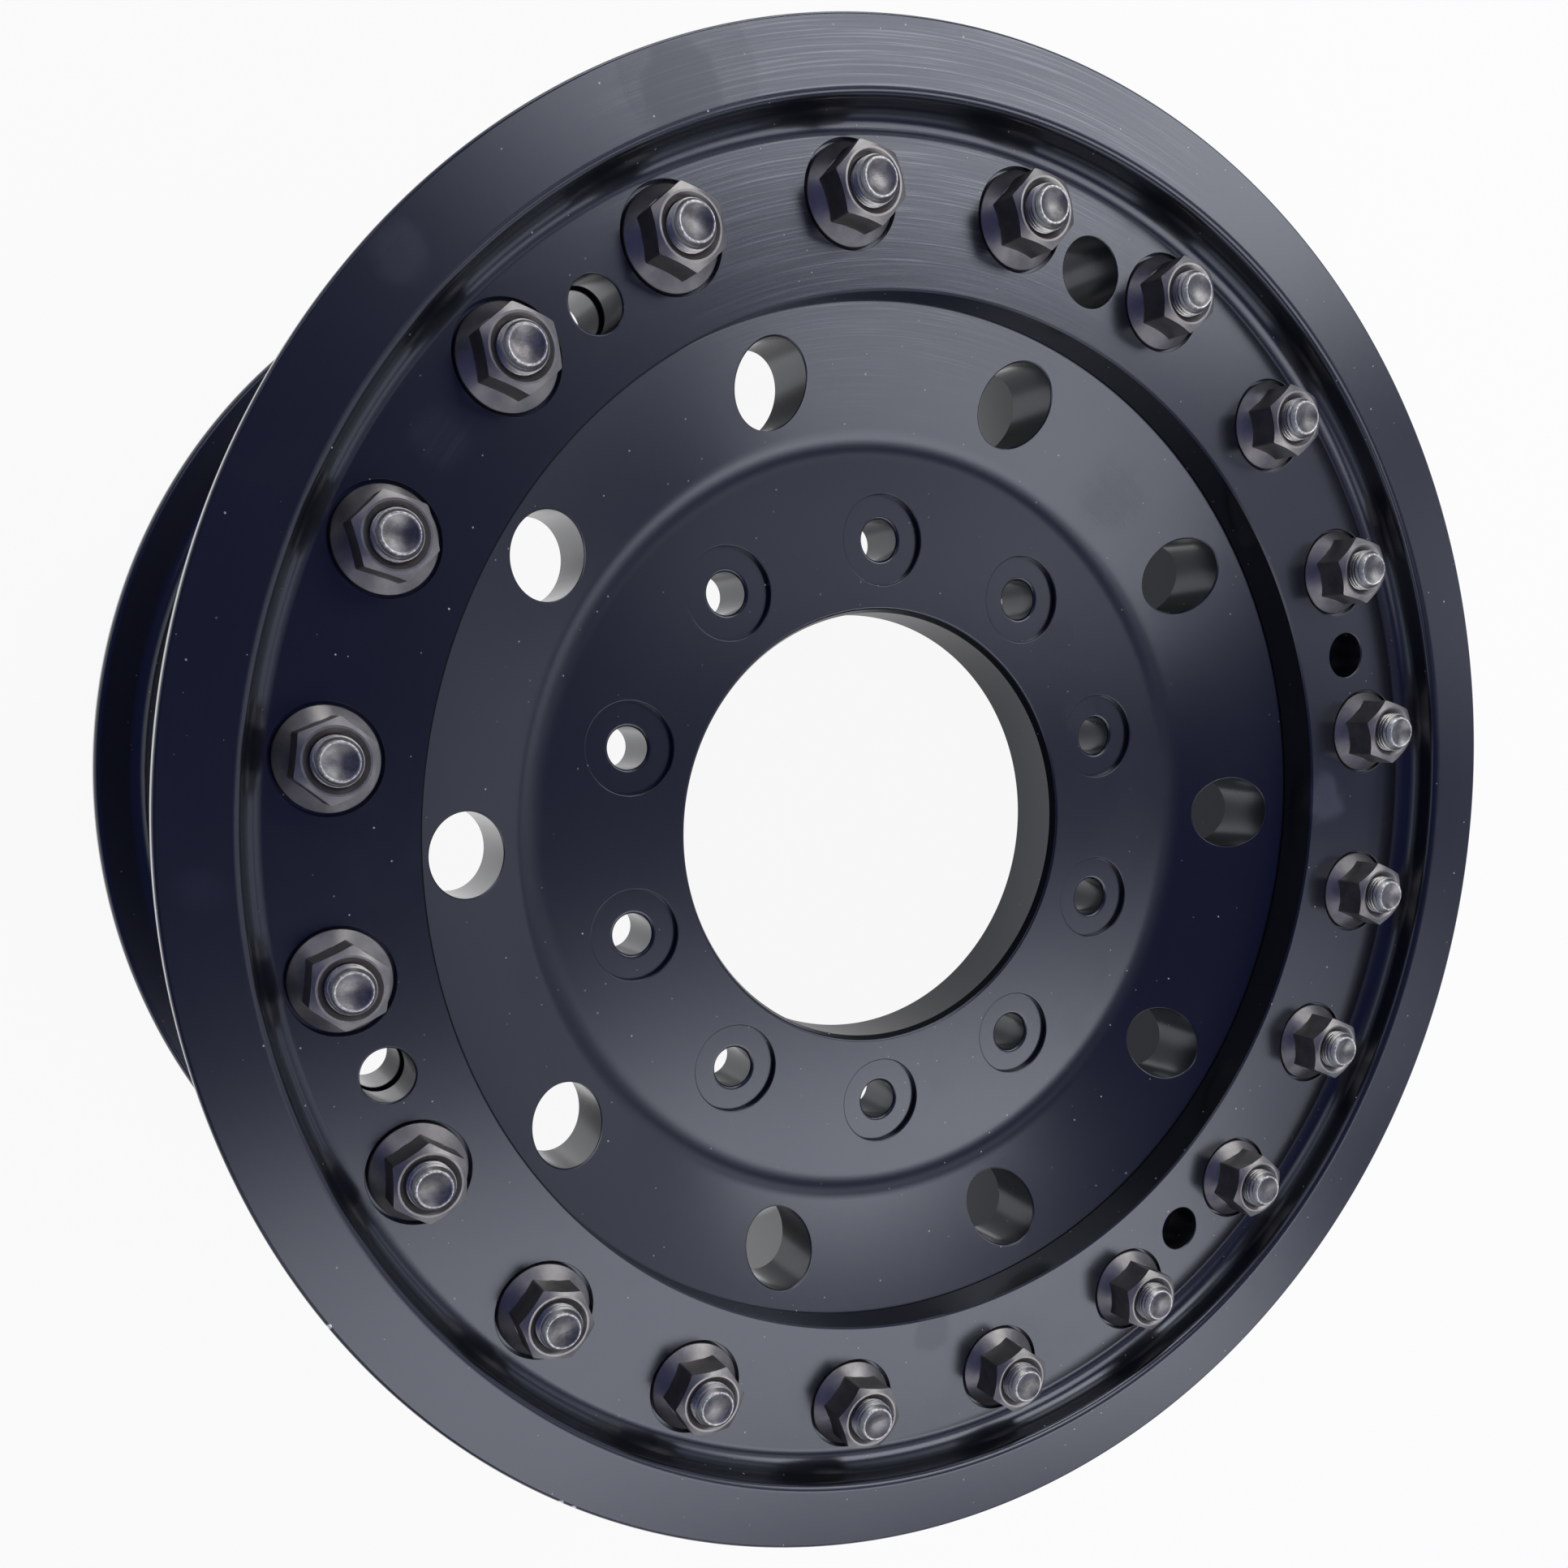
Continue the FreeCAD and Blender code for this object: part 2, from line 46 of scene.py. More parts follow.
shrink = 0.001              # millimetres to metres
lathe = {
    "steps": 360,           # steps in one turn of a rim half
    "arcStep": 7.5,         # degrees in each step of a rounded edge
    "weld": 0.0005,         # points nearer than this are merged
    "slack": 0.001,         # and heights nearer than this count as one
}
shading = {
    "angle": 32,            # edges that turn more than this stay sharp
    "flatWeight": 95,       # how far large flats lead the shading of their edges
}


def topOf(node):
    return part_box(node)[1].z / shrink


def footOf(node):
    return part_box(node)[0].z / shrink


# Small helpers for selecting and finishing

def clearSelection():
    if bpy.context.object and bpy.context.object.mode != "OBJECT":
        bpy.ops.object.mode_set(mode="OBJECT")
    bpy.ops.object.select_all(action="DESELECT")


def pick(piece):
    clearSelection()
    piece.hide_set(False)
    piece.select_set(True)
    bpy.context.view_layer.objects.active = piece


def editEdges(piece, wanted):
    # into edit mode, with only the edges selected whose two ends pass the test
    pick(piece)
    bpy.ops.object.mode_set(mode="EDIT")
    bpy.ops.mesh.select_mode(type="EDGE")
    bpy.ops.mesh.select_all(action="DESELECT")
    bpy.ops.object.mode_set(mode="OBJECT")
    for edge in piece.data.edges:
        first, second = (piece.data.vertices[index].co for index in edge.vertices)
        edge.select = wanted(first, second)
    bpy.ops.object.mode_set(mode="EDIT")


def applyModifier(piece, modifier):
    pick(piece)
    bpy.ops.object.modifier_apply(modifier=modifier.name)


def carve(piece, tool, how="DIFFERENCE"):
    modifier = piece.modifiers.new("carve", "BOOLEAN")
    modifier.operation = how
    modifier.object = tool
    modifier.solver = "MANIFOLD"
    applyModifier(piece, modifier)
    bpy.data.objects.remove(tool)


def smoothOver(piece, angle=shading["angle"]):
    pick(piece)
    bpy.ops.object.shade_smooth_by_angle(angle=math.radians(angle))
    modifier = piece.modifiers.new("flats", "WEIGHTED_NORMAL")
    modifier.keep_sharp = True
    modifier.weight = shading["flatWeight"]
    applyModifier(piece, modifier)


def intoFrame(piece):
    piece.data.transform(Matrix.Scale(shrink, 4) @ piece.matrix_world)
    piece.matrix_world = Matrix.Identity(4)


def copyTurned(piece, name, matrix):
    twin = piece.copy()
    twin.data = piece.data.copy()
    twin.name = name
    twin.data.name = name
    bpy.context.scene.collection.objects.link(twin)
    twin.data.transform(matrix)
    return twin


def joinAll(pieces):
    clearSelection()
    for piece in pieces:
        piece.select_set(True)
    bpy.context.view_layer.objects.active = pieces[0]
    if len(pieces) > 1:
        bpy.ops.object.join()
    return bpy.context.object


# Outlines and turning

def roundedOutline(corners):
    # a corner is (radius, height) or (radius, height, round)
    count = len(corners)
    points = []
    for index, corner in enumerate(corners):
        here = Vector(corner[:2])
        size = corner[2] if len(corner) > 2 else 0
        if not size:
            points.append(here)
            continue
        back = (Vector(corners[index - 1][:2]) - here).normalized()
        ahead = (Vector(corners[(index + 1) % count][:2]) - here).normalized()
        half = back.angle(ahead) / 2
        centre = here + (back + ahead).normalized() * (size / math.sin(half))
        start = here + back * (size / math.tan(half)) - centre
        end = here + ahead * (size / math.tan(half)) - centre
        sweep = start.angle_signed(end)
        steps = max(2, round(abs(math.degrees(sweep)) / lathe["arcStep"]))
        for step in range(steps + 1):
            spot = start.copy()
            spot.rotate(Matrix.Rotation(-sweep * step / steps, 2))
            points.append(centre + spot)
    return points


def drawChain(name, points, closed=True):
    # a plane merged to one point, then pulled along the outline
    clearSelection()
    bpy.ops.mesh.primitive_plane_add(size=1, location=(0, 0, 0))
    piece = bpy.context.object
    piece.name = name
    bpy.ops.object.mode_set(mode="EDIT")
    bpy.ops.mesh.select_mode(type="VERT")
    bpy.ops.mesh.select_all(action="SELECT")
    bpy.ops.mesh.merge(type="CENTER")
    bpy.ops.transform.translate(value=(points[0][0], 0, points[0][1]))
    path = points + points[:1] if closed else points
    for here, there in zip(path, path[1:]):
        step = (there[0] - here[0], 0, there[1] - here[1])
        bpy.ops.mesh.extrude_vertices_move(TRANSFORM_OT_translate={"value": step})
    bpy.ops.mesh.select_all(action="SELECT")
    bpy.ops.mesh.remove_doubles(threshold=lathe["weld"])
    return piece


def turnRound(name, points, steps=None, closed=True):
    piece = drawChain(name, points, closed)
    bpy.ops.mesh.select_all(action="SELECT")
    bpy.ops.mesh.spin(steps=steps or lathe["steps"], angle=math.tau, center=(0, 0, 0), axis=(0, 0, 1))
    bpy.ops.mesh.select_all(action="SELECT")
    bpy.ops.mesh.remove_doubles(threshold=lathe["weld"])
    bpy.ops.mesh.normals_make_consistent(inside=False)
    bpy.ops.object.mode_set(mode="OBJECT")
    return piece


def mouth(radius, height, size, side=1, steps=4):
    # points of a cutter that leave a rounded edge where a hole meets a face
    points = []
    for step in range(steps + 1):
        angle = math.radians(90 * step / steps)
        points.append((radius + size * (1 - math.cos(angle)), height - side * size * (1 - math.sin(angle))))
    return points[::side]


def drill(name, radius, top, foot, flare=0, footFlare=0, steps=64, seat=None):
    # a turned cutter for one hole, rounded at the top and at the foot; a seat is a wider, shallow
    # hole round the mouth: its radius, its top and the size of its rounded edge
    over = 2        # how far the cutter stands out of the faces
    hem = 0.5       # narrow rings on a seat's floor keep its shading flat
    points = [(0, foot - over), (radius + footFlare, foot - over)]
    points += mouth(radius, foot, footFlare, -1, 3) if footFlare else [(radius, foot)]
    points += mouth(radius, top, flare) if flare else [(radius, top)]
    reach = radius + flare
    if seat:
        wide, rim, edge = seat
        points += [(reach + hem, top), (wide - hem, top), (wide, top)]
        points += mouth(wide, rim, edge, 1, 3)
        top = rim
        reach = wide + edge
    points += [(reach, top + over), (0, top + over)]
    return turnRound(name, points, steps, closed=False)


def onCircle(radius, degrees):
    angle = math.radians(degrees)
    return Vector((radius * math.cos(angle), radius * math.sin(angle), 0))


def placesRound(radius, first, count):
    return [onCircle(radius, first + 360 * index / count) for index in range(count)]


def spread(tool, places):
    tools = []
    for index, place in enumerate(places):
        tools.append(copyTurned(tool, tool.name + str(index), Matrix.Translation(place)))
    bpy.data.objects.remove(tool)
    return joinAll(tools)


# Heights read from the frame, in millimetres
lipTop = topOf("front_rim_half")
rearFoot = footOf("rear_rim_half")
seamTop = topOf("rear_rim_half")
skirtFoot = footOf("front_rim_half")
tipTop = topOf("stud_01")
nutFoot = footOf("flange_nut_01")

studRing = {"radius": 225.7, "count": 20, "first": 99}
jackRing = {"radius": 220.4, "turns": (18, 126, 198, 306)}
valveSpot = {"radius": 219.2, "turn": 72, "hole": 12.55}


def studPlace(index):
    return onCircle(studRing["radius"], studRing["first"] - 360 * index / studRing["count"])


def studPlaces():
    return [studPlace(index) for index in range(studRing["count"])]


def jackPlaces():
    return [onCircle(jackRing["radius"], turn) for turn in jackRing["turns"]]


def valvePlaces():
    return [onCircle(valveSpot["radius"], valveSpot["turn"])]


# The flange and the tyre seat, which are alike on both halves
tyreSeat = {
    "flangeRadius": 277.4,
    "flangeThick": 9,
    "flangeFront": 1.2,
    "flangeBack": 3,
    "beadRadius": 255.5,
    "beadWidth": 36,
    "beadCorner": 8,
    "beadTaper": 5,
}

# Front half of the rim: ring, lip and front tyre seat
frontRim = {
    "ringInner": 194.5,
    "ringThick": 16.7,
    "ringBevel": 0.7,
    "lipWall": 252.1,
    "lipRoot": 8,
    "lipCrest": 3,
    "skirtInner": 248.5,
    "skirtBevel": 0.4,
    "studHole": 8.75,
    "nutSink": 18,
    "nutSinkBevel": 0.25,
    "jackHole": 9.2,
    "jackBevel": 0.6,
    "valveBevel": 0.5,
    "nicks": ((234.4, 0.8), (235.5, 1.2), (235.85, 0.9), (211.5, 0.5)),     # turn and size
    "nickOut": 0.35,        # how far a nick's middle lies off the lip's edge, as a share of its size
    "nickUp": 0.1,
}
ringFace = seamTop + frontRim["ringThick"]
frontTyreFace = lipTop - tyreSeat["flangeThick"]


def frontOutline():
    rim = frontRim
    seat = tyreSeat
    drop = math.tan(math.radians(seat["beadTaper"]))
    seatFoot = seat["beadRadius"] - (frontTyreFace - skirtFoot) * drop
    bevel = rim["ringBevel"]
    return roundedOutline([
        (rim["ringInner"] + bevel, seamTop),
        (rim["skirtInner"], seamTop),
        (rim["skirtInner"], skirtFoot, rim["skirtBevel"]),
        (seatFoot, skirtFoot, rim["skirtBevel"]),
        (seat["beadRadius"], frontTyreFace, seat["beadCorner"]),
        (seat["flangeRadius"], frontTyreFace, seat["flangeBack"]),
        (seat["flangeRadius"], lipTop, seat["flangeFront"]),
        (rim["lipWall"], lipTop, rim["lipCrest"]),
        (rim["lipWall"], ringFace, rim["lipRoot"]),
        (rim["ringInner"] + bevel, ringFace),
        (rim["ringInner"], ringFace - bevel),
        (rim["ringInner"], seamTop + bevel),
    ])


def makeFrontHalf():
    rim = frontRim
    piece = turnRound("front_half", frontOutline())
    studTool = drill("studTool", rim["studHole"], nutFoot, seamTop, steps=96,
                     seat=(rim["nutSink"], ringFace, rim["nutSinkBevel"]))
    carve(piece, spread(studTool, studPlaces()))
    jackTool = drill("jackTool", rim["jackHole"], ringFace, seamTop, rim["jackBevel"], steps=72)
    carve(piece, spread(jackTool, jackPlaces()))
    valveTool = drill("valveTool", valveSpot["hole"], ringFace, seamTop, rim["valveBevel"], steps=96)
    carve(piece, spread(valveTool, valvePlaces()))
    for turn, size in rim["nicks"]:
        spot = onCircle(tyreSeat["flangeRadius"] + size * rim["nickOut"], turn)
        height = lipTop + size * rim["nickUp"]
        clearSelection()
        bpy.ops.mesh.primitive_ico_sphere_add(subdivisions=2, radius=size,
                                              location=(spot.x, spot.y, height))
        chipTool = bpy.context.object
        bpy.ops.object.transform_apply(location=True)
        carve(piece, chipTool)
    smoothOver(piece)
    intoFrame(piece)
    print("front half", len(piece.data.polygons), "faces")
    return piece


# Rear half of the rim: hub disc, cone, bolting land, barrel and rear flange. The disc is turned flat
# and drilled flat, then pressed into its dish, so every hole's bevel follows the slope.
rearRim = {
    "bore": 85.05,
    "boreLeadIn": 1.4,
    "boreLeadDown": 3.4,
    "boreRound": 1.1,
    "hubThick": 26.5,
    "padEdge": 148.5,
    "padBack": 147,
    "padBlend": 25,
    "landInner": 195.4,
    "landThick": 23.5,
    "landBack": 200.5,
    "barrelInner": 241.5,
    "barrelWall": 8,
    "barrelCorner": 4,
    "spigot": 248.3,
    "spigotLength": 13.8,
    "spigotLead": 1,
    "shoulderWidth": 6,
    "shoulderSlope": 30,
    "mouthDepth": 31.7,
    "mouthRadius": 250.5,
    "sealGroove": 240.4,
    "sealWidth": 6.2,
    "sealDepth": 4.1,
    "holes": 10,            # as many hand holes as lug holes
    "lugRing": 112.5,
    "lugFirst": 90,
    "lugHole": 7.9,
    "lugBevel": 1.3,
    "lugSeat": 17.2,
    "lugSeatDepth": 2.2,
    "lugSeatBevel": 0.5,
    "handRing": 172.5,
    "handFirst": 108,
    "handHole": 15.1,
    "handBevel": 0.6,
    "pressHole": 8.5,
    "jackHole": 8.5,
    "jackSink": 4.5,
    "blendRing": 1.5,       # spacing of the rings that let the flat disc follow its dish
    "coneRing": 6,
    "padRing": 8,
    "leastGap": 1,
    "edgeZone": 6,          # depth at each face that the press moves without stretching it
}
landFoot = seamTop - rearRim["landThick"]


def rise(radius, corner, blend, slope):
    # height of a flat that turns up at a corner with a round of the given size
    angle = math.atan(slope)
    start = corner - blend * math.tan(angle / 2)
    along = radius - start
    if along <= 0:
        return 0
    if along < blend * math.sin(angle):
        return blend - math.sqrt(blend ** 2 - along ** 2)
    return (radius - corner) * slope


def dishTop(radius):
    rim = rearRim
    slope = (seamTop - rim["hubThick"]) / (rim["landInner"] - rim["padEdge"])
    height = rim["hubThick"] + rise(radius, rim["padEdge"], rim["padBlend"], slope)
    return min(height, seamTop)


def dishFoot(radius):
    rim = rearRim
    slope = landFoot / (rim["landBack"] - rim["padBack"])
    if radius < (rim["landBack"] + rim["padBack"]) / 2:
        return rise(radius, rim["padBack"], rim["padBlend"], slope)
    mirrored = 2 * rim["landBack"] - radius
    return landFoot - rise(mirrored, rim["landBack"], rim["padBlend"], slope)


def discRings(rim):
    # radii of those rings: close together at the blends, wide apart elsewhere
    rings = []
    radius = rim["bore"] + rim["padRing"]
    while radius < rim["landBack"] + rim["padBlend"] / 2:
        rings.append(radius)
        nearBlend = min(abs(radius - rim["padEdge"]), abs(radius - rim["landBack"])) < rim["padBlend"] / 2
        if nearBlend:
            radius += rim["blendRing"]
        elif radius < rim["padEdge"]:
            radius += rim["padRing"] / 2
        else:
            radius += rim["coneRing"]
    return rings


def rearOutline():
    rim = rearRim
    seat = tyreSeat
    drop = math.tan(math.radians(seat["beadTaper"]))
    slope = math.tan(math.radians(rim["shoulderSlope"]))
    rearTyreFace = rearFoot + seat["flangeThick"]
    barrelOuter = rim["barrelInner"] + rim["barrelWall"]
    seatEnd = seat["beadRadius"] - seat["beadWidth"] * drop
    seatEndHeight = rearTyreFace + seat["beadWidth"]
    spigotFoot = seamTop - rim["spigotLength"]
    shoulder = seat["beadRadius"] - (frontTyreFace - spigotFoot) * drop
    shoulderLow = spigotFoot - rim["shoulderWidth"]
    grooveIn = rim["sealGroove"] - rim["sealWidth"] / 2
    grooveOut = rim["sealGroove"] + rim["sealWidth"] / 2
    grooveFloor = seamTop - rim["sealDepth"]
    rings = discRings(rim)
    back = [(radius, landFoot) for radius in rings]
    lastRing = rim["landInner"] - rim["leastGap"]
    front = [(radius, seamTop) for radius in reversed(rings) if radius < lastRing]
    return roundedOutline([(rim["bore"], landFoot)] + back + [
        (rim["barrelInner"], landFoot, rim["barrelCorner"]),
        (rim["barrelInner"], rearFoot + rim["mouthDepth"]),
        (rim["mouthRadius"], rearFoot, seat["flangeBack"]),
        (seat["flangeRadius"], rearFoot, seat["flangeFront"]),
        (seat["flangeRadius"], rearTyreFace, seat["flangeBack"]),
        (seat["beadRadius"], rearTyreFace, seat["beadCorner"]),
        (seatEnd, seatEndHeight),
        (barrelOuter, seatEndHeight + (seatEnd - barrelOuter) / slope),
        (barrelOuter, shoulderLow - (shoulder - barrelOuter) / slope),
        (shoulder, shoulderLow),
        (shoulder, spigotFoot, rim["spigotLead"] / 2),
        (rim["spigot"], spigotFoot),
        (rim["spigot"], seamTop - rim["spigotLead"]),
        (rim["spigot"] - rim["spigotLead"], seamTop),
        (grooveOut, seamTop),
        (grooveOut, grooveFloor),
        (grooveIn, grooveFloor),
        (grooveIn, seamTop),
        (rim["landInner"], seamTop),
    ] + front + [
        (rim["bore"] + rim["boreLeadIn"], seamTop, rim["boreRound"]),
        (rim["bore"], seamTop - rim["boreLeadDown"], rim["boreRound"]),
    ])


def pressDish(piece):
    rim = rearRim
    zone = rim["edgeZone"]
    outermost = rim["landBack"] + rim["padBlend"] / 2
    for vertex in piece.data.vertices:
        spot = vertex.co
        radius = math.hypot(spot.x, spot.y)
        if radius > outermost or spot.z < landFoot - lathe["slack"]:
            continue
        share = (spot.z - landFoot - zone) / (rim["landThick"] - 2 * zone)
        share = min(max(share, 0), 1)
        downTop = dishTop(radius) - seamTop
        downFoot = dishFoot(radius) - landFoot
        spot.z += downTop * share + downFoot * (1 - share)


def makeRearHalf():
    rim = rearRim
    piece = turnRound("rear_half", rearOutline())
    lugPlaces = placesRound(rim["lugRing"], rim["lugFirst"], rim["holes"])
    handPlaces = placesRound(rim["handRing"], rim["handFirst"], rim["holes"])
    seatFloor = seamTop - rim["lugSeatDepth"]
    lugTool = drill("lugTool", rim["lugHole"], seatFloor, landFoot, rim["lugBevel"], rim["lugBevel"],
                    steps=80, seat=(rim["lugSeat"], seamTop, rim["lugSeatBevel"]))
    carve(piece, spread(lugTool, lugPlaces))
    handTool = drill("handTool", rim["handHole"], seamTop, landFoot, rim["handBevel"], steps=96)
    carve(piece, spread(handTool, handPlaces))
    pressTool = drill("pressTool", rim["pressHole"], seamTop, landFoot, steps=32)
    carve(piece, spread(pressTool, studPlaces()))
    jackTool = drill("jackBack", rim["jackHole"], seamTop, landFoot, rim["jackSink"], steps=72)
    carve(piece, spread(jackTool, jackPlaces()))
    valveTool = drill("valveBack", valveSpot["hole"], seamTop, landFoot, steps=96)
    carve(piece, spread(valveTool, valvePlaces()))
    pressDish(piece)
    smoothOver(piece)
    intoFrame(piece)
    print("rear half", len(piece.data.polygons), "faces")
    return piece


# Studs: pressed head and shank below, rolled thread and dished end above
stud = {
    "head": 11.5,
    "headHeight": 6,
    "headBevel": 0.8,
    "headRound": 0.2,
    "press": 8.5,
    "pressLength": 20,
    "pressRound": 0.4,
    "shank": 8,
    "neckStep": 0.3,        # how much thinner the neck is below the thread
    "neckOverlap": 1,
    "pitch": 1.5,
    "root": 7.1,
    "tooth": (0.12, 0.42, 0.58, 0.88),      # shares of the pitch where the flanks start and end
    "threadLength": 22,
    "threadSteps": 36,
    "spareTurns": 2,
    "endLength": 3,
    "endRadius": 6.3,
    "endRound": 0.4,
    "endSlopeRound": 0.8,
    "dishRadius": 5.8,
    "dishEdge": 0.2,
    "dishDepth": 1.1,
    "dishSteps": 8,
    "steps": 48,
    "smoothAngle": 38,
}


def studBlank(tip):
    # what the finished end fits inside: bevelled, with a shallow round dish
    dish = []
    steps = stud["dishSteps"]
    for step in range(steps + 1):
        across = stud["dishRadius"] * (1 - step / steps)
        depth = stud["dishDepth"] * (1 - (across / stud["dishRadius"]) ** 2)
        dish.append((across, tip - depth))
    start = tip - stud["threadLength"]
    edge = roundedOutline([
        (0, start),
        (stud["shank"], start),
        (stud["shank"], tip - stud["endLength"], stud["endSlopeRound"]),
        (stud["endRadius"], tip, stud["endRound"]),
        (stud["dishRadius"] - stud["dishEdge"], tip),
    ])
    return turnRound("studBlank", edge[:-1] + dish, stud["steps"], closed=False)


def threadRod(tip):
    # one tooth of the thread, wound up the rod past both ends of the blank and closed there
    pitch = stud["pitch"]
    foot = tip - stud["threadLength"] - stud["spareTurns"] * pitch
    flankFoot, crestFoot, crestTop, flankTop = (foot + pitch * share for share in stud["tooth"])
    tooth = [
        (stud["root"], foot),
        (stud["root"], flankFoot),
        (stud["shank"], crestFoot),
        (stud["shank"], crestTop),
        (stud["root"], flankTop),
        (stud["root"], foot + pitch),
    ]
    piece = drawChain("threadRod", tooth, closed=False)
    bpy.ops.object.mode_set(mode="OBJECT")
    modifier = piece.modifiers.new("wind", "SCREW")
    modifier.axis = "Z"
    modifier.angle = math.tau
    modifier.screw_offset = pitch
    modifier.iterations = math.ceil(stud["threadLength"] / pitch) + stud["spareTurns"] + 1
    modifier.steps = stud["threadSteps"]
    modifier.render_steps = modifier.steps
    modifier.use_merge_vertices = True
    modifier.merge_threshold = lathe["weld"]
    applyModifier(piece, modifier)
    bpy.ops.object.mode_set(mode="EDIT")
    bpy.ops.mesh.select_all(action="SELECT")
    bpy.ops.mesh.remove_doubles(threshold=lathe["weld"])
    bpy.ops.object.mode_set(mode="OBJECT")
    for side in (-1, 1):
        closeEnd(piece, side, (foot + tip) / 2)
    bpy.ops.object.mode_set(mode="EDIT")
    bpy.ops.mesh.select_all(action="SELECT")
    bpy.ops.mesh.normals_make_consistent(inside=False)
    bpy.ops.object.mode_set(mode="OBJECT")
    return piece


def closeEnd(piece, side, middle):
    # the open loop at one end is pulled in to a point on the axis
    pick(piece)
    mesh = piece.data
    faceCount = [0] * len(mesh.edges)
    for corner in mesh.loops:
        faceCount[corner.edge_index] += 1
    rim = {tuple(edge.vertices) for edge, count in zip(mesh.edges, faceCount) if count == 1}
    bpy.ops.object.mode_set(mode="EDIT")
    bpy.ops.mesh.select_mode(type="EDGE")
    bpy.ops.mesh.select_all(action="DESELECT")
    bpy.ops.object.mode_set(mode="OBJECT")
    heights = []
    for edge in mesh.edges:
        height = mesh.vertices[edge.vertices[0]].co.z
        edge.select = tuple(edge.vertices) in rim and (height - middle) * side > 0
        if edge.select:
            heights.append(height)
    bpy.ops.object.mode_set(mode="EDIT")
    bpy.ops.mesh.extrude_edges_move()
    bpy.ops.mesh.merge(type="CENTER")
    bpy.ops.object.mode_set(mode="OBJECT")
    for vertex in mesh.vertices:
        if vertex.select:
            vertex.co = (0, 0, sum(heights) / len(heights) + side)


def makeStudPattern():
    # height zero is the face of the head that lies against the back of the land
    tip = tipTop - landFoot
    neck = stud["shank"] - stud["neckStep"]
    neckTop = tip - stud["threadLength"] + stud["neckOverlap"]
    lower = turnRound("stud_pattern", roundedOutline([
        (0, -stud["headHeight"]),
        (stud["head"], -stud["headHeight"], stud["headBevel"]),
        (stud["head"], 0, stud["headRound"]),
        (stud["press"], 0),
        (stud["press"], stud["pressLength"], stud["pressRound"]),
        (neck, stud["pressLength"]),
        (neck, neckTop),
        (0, neckTop),
    ]), stud["steps"], closed=False)
    end = threadRod(tip)
    carve(end, studBlank(tip), "INTERSECT")
    carve(lower, end, "UNION")
    smoothOver(lower, stud["smoothAngle"])
    markEnd(lower, tip)
    print("stud", len(lower.data.polygons), "faces")
    return lower


def markEnd(piece, tip):
    # how far each point lies from the axis and below the tip, so the finish can follow the end
    across = piece.data.attributes.new("across", "FLOAT", "POINT")
    below = piece.data.attributes.new("below", "FLOAT", "POINT")
    for vertex in piece.data.vertices:
        across.data[vertex.index].value = math.hypot(vertex.co.x, vertex.co.y)
        below.data[vertex.index].value = tip - vertex.co.z


# Flange nuts
nut = {
    "height": 18.8,
    "width": 24,
    "cornerRound": 0.5,
    "cornerSteps": 3,
    "flange": 16.95,
    "flangeFootRound": 0.5,
    "flangeEdge": 2.6,
    "flangeRound": 0.7,
    "coneHeight": 6.2,
    "coneRadius": 12.2,
    "topRadius": 10.9,
    "topSlope": 30,
    "bore": 8.1,
    "mouth": 10.2,
    "mouthDepth": 1.4,
    "wornEdge": 0.22,
    "wornSteps": 2,
    "wornAngle": 24,
    "steps": 96,
    "smoothAngle": 28,
}
# How far each nut is turned, in degrees and in the order of the studs
nutTurns = (19, 17, 9, 12, 17, 13, 6, 7, 49, 5, 53, 18, 31, 19, 58, 52, 51, 13, 10, 11)


def makeNutPattern():
    corner = nut["width"] / 2 / math.cos(math.radians(30))
    clearSelection()
    bpy.ops.mesh.primitive_cylinder_add(vertices=6, radius=corner, depth=nut["height"],
                                        location=(0, 0, nut["height"] / 2))
    piece = bpy.context.object
    piece.name = "nut_pattern"
    bpy.ops.object.transform_apply(location=True)
    editEdges(piece, lambda first, second: abs(first.z - second.z) > nut["height"] / 2)
    bpy.ops.mesh.bevel(offset=nut["cornerRound"], segments=nut["cornerSteps"], affect="EDGES")
    bpy.ops.object.mode_set(mode="OBJECT")
    over = 1        # how far the cutters stand out of the nut
    far = nut["width"]
    fall = (far - nut["topRadius"]) * math.tan(math.radians(nut["topSlope"]))
    cap = turnRound("cap", [
        (0, -over),
        (far, -over),
        (far, nut["height"] - fall),
        (nut["topRadius"], nut["height"]),
        (0, nut["height"]),
    ], nut["steps"], closed=False)
    carve(piece, cap, "INTERSECT")
    flange = turnRound("flange", roundedOutline([
        (0, 0),
        (nut["flange"], 0, nut["flangeFootRound"]),
        (nut["flange"], nut["flangeEdge"], nut["flangeRound"]),
        (nut["coneRadius"], nut["coneHeight"]),
        (0, nut["coneHeight"]),
    ]), nut["steps"], closed=False)
    carve(piece, flange, "UNION")
    bore = turnRound("bore", [
        (0, -over),
        (nut["bore"], -over),
        (nut["bore"], nut["height"] - nut["mouthDepth"]),
        (nut["mouth"], nut["height"]),
        (nut["mouth"], nut["height"] + over),
        (0, nut["height"] + over),
    ], nut["steps"], closed=False)
    carve(piece, bore)
    wearEdges(piece)
    smoothOver(piece, nut["smoothAngle"])
    print("nut", len(piece.data.polygons), "faces")
    return piece


def wearEdges(piece):
    # the bevel's faces go to a second, empty slot and are marked by it, for the finish to brighten
    for slot in range(2):
        piece.data.materials.append(None)
    modifier = piece.modifiers.new("worn", "BEVEL")
    modifier.width = nut["wornEdge"]
    modifier.segments = nut["wornSteps"]
    modifier.limit_method = "ANGLE"
    modifier.angle_limit = math.radians(nut["wornAngle"])
    modifier.material = 1
    applyModifier(piece, modifier)
    worn = piece.data.attributes.new("worn", "FLOAT", "CORNER")
    for face in piece.data.polygons:
        for corner in face.loop_indices:
            worn.data[corner].value = face.material_index
        face.material_index = 0
    piece.data.materials.clear()


# Shader maths

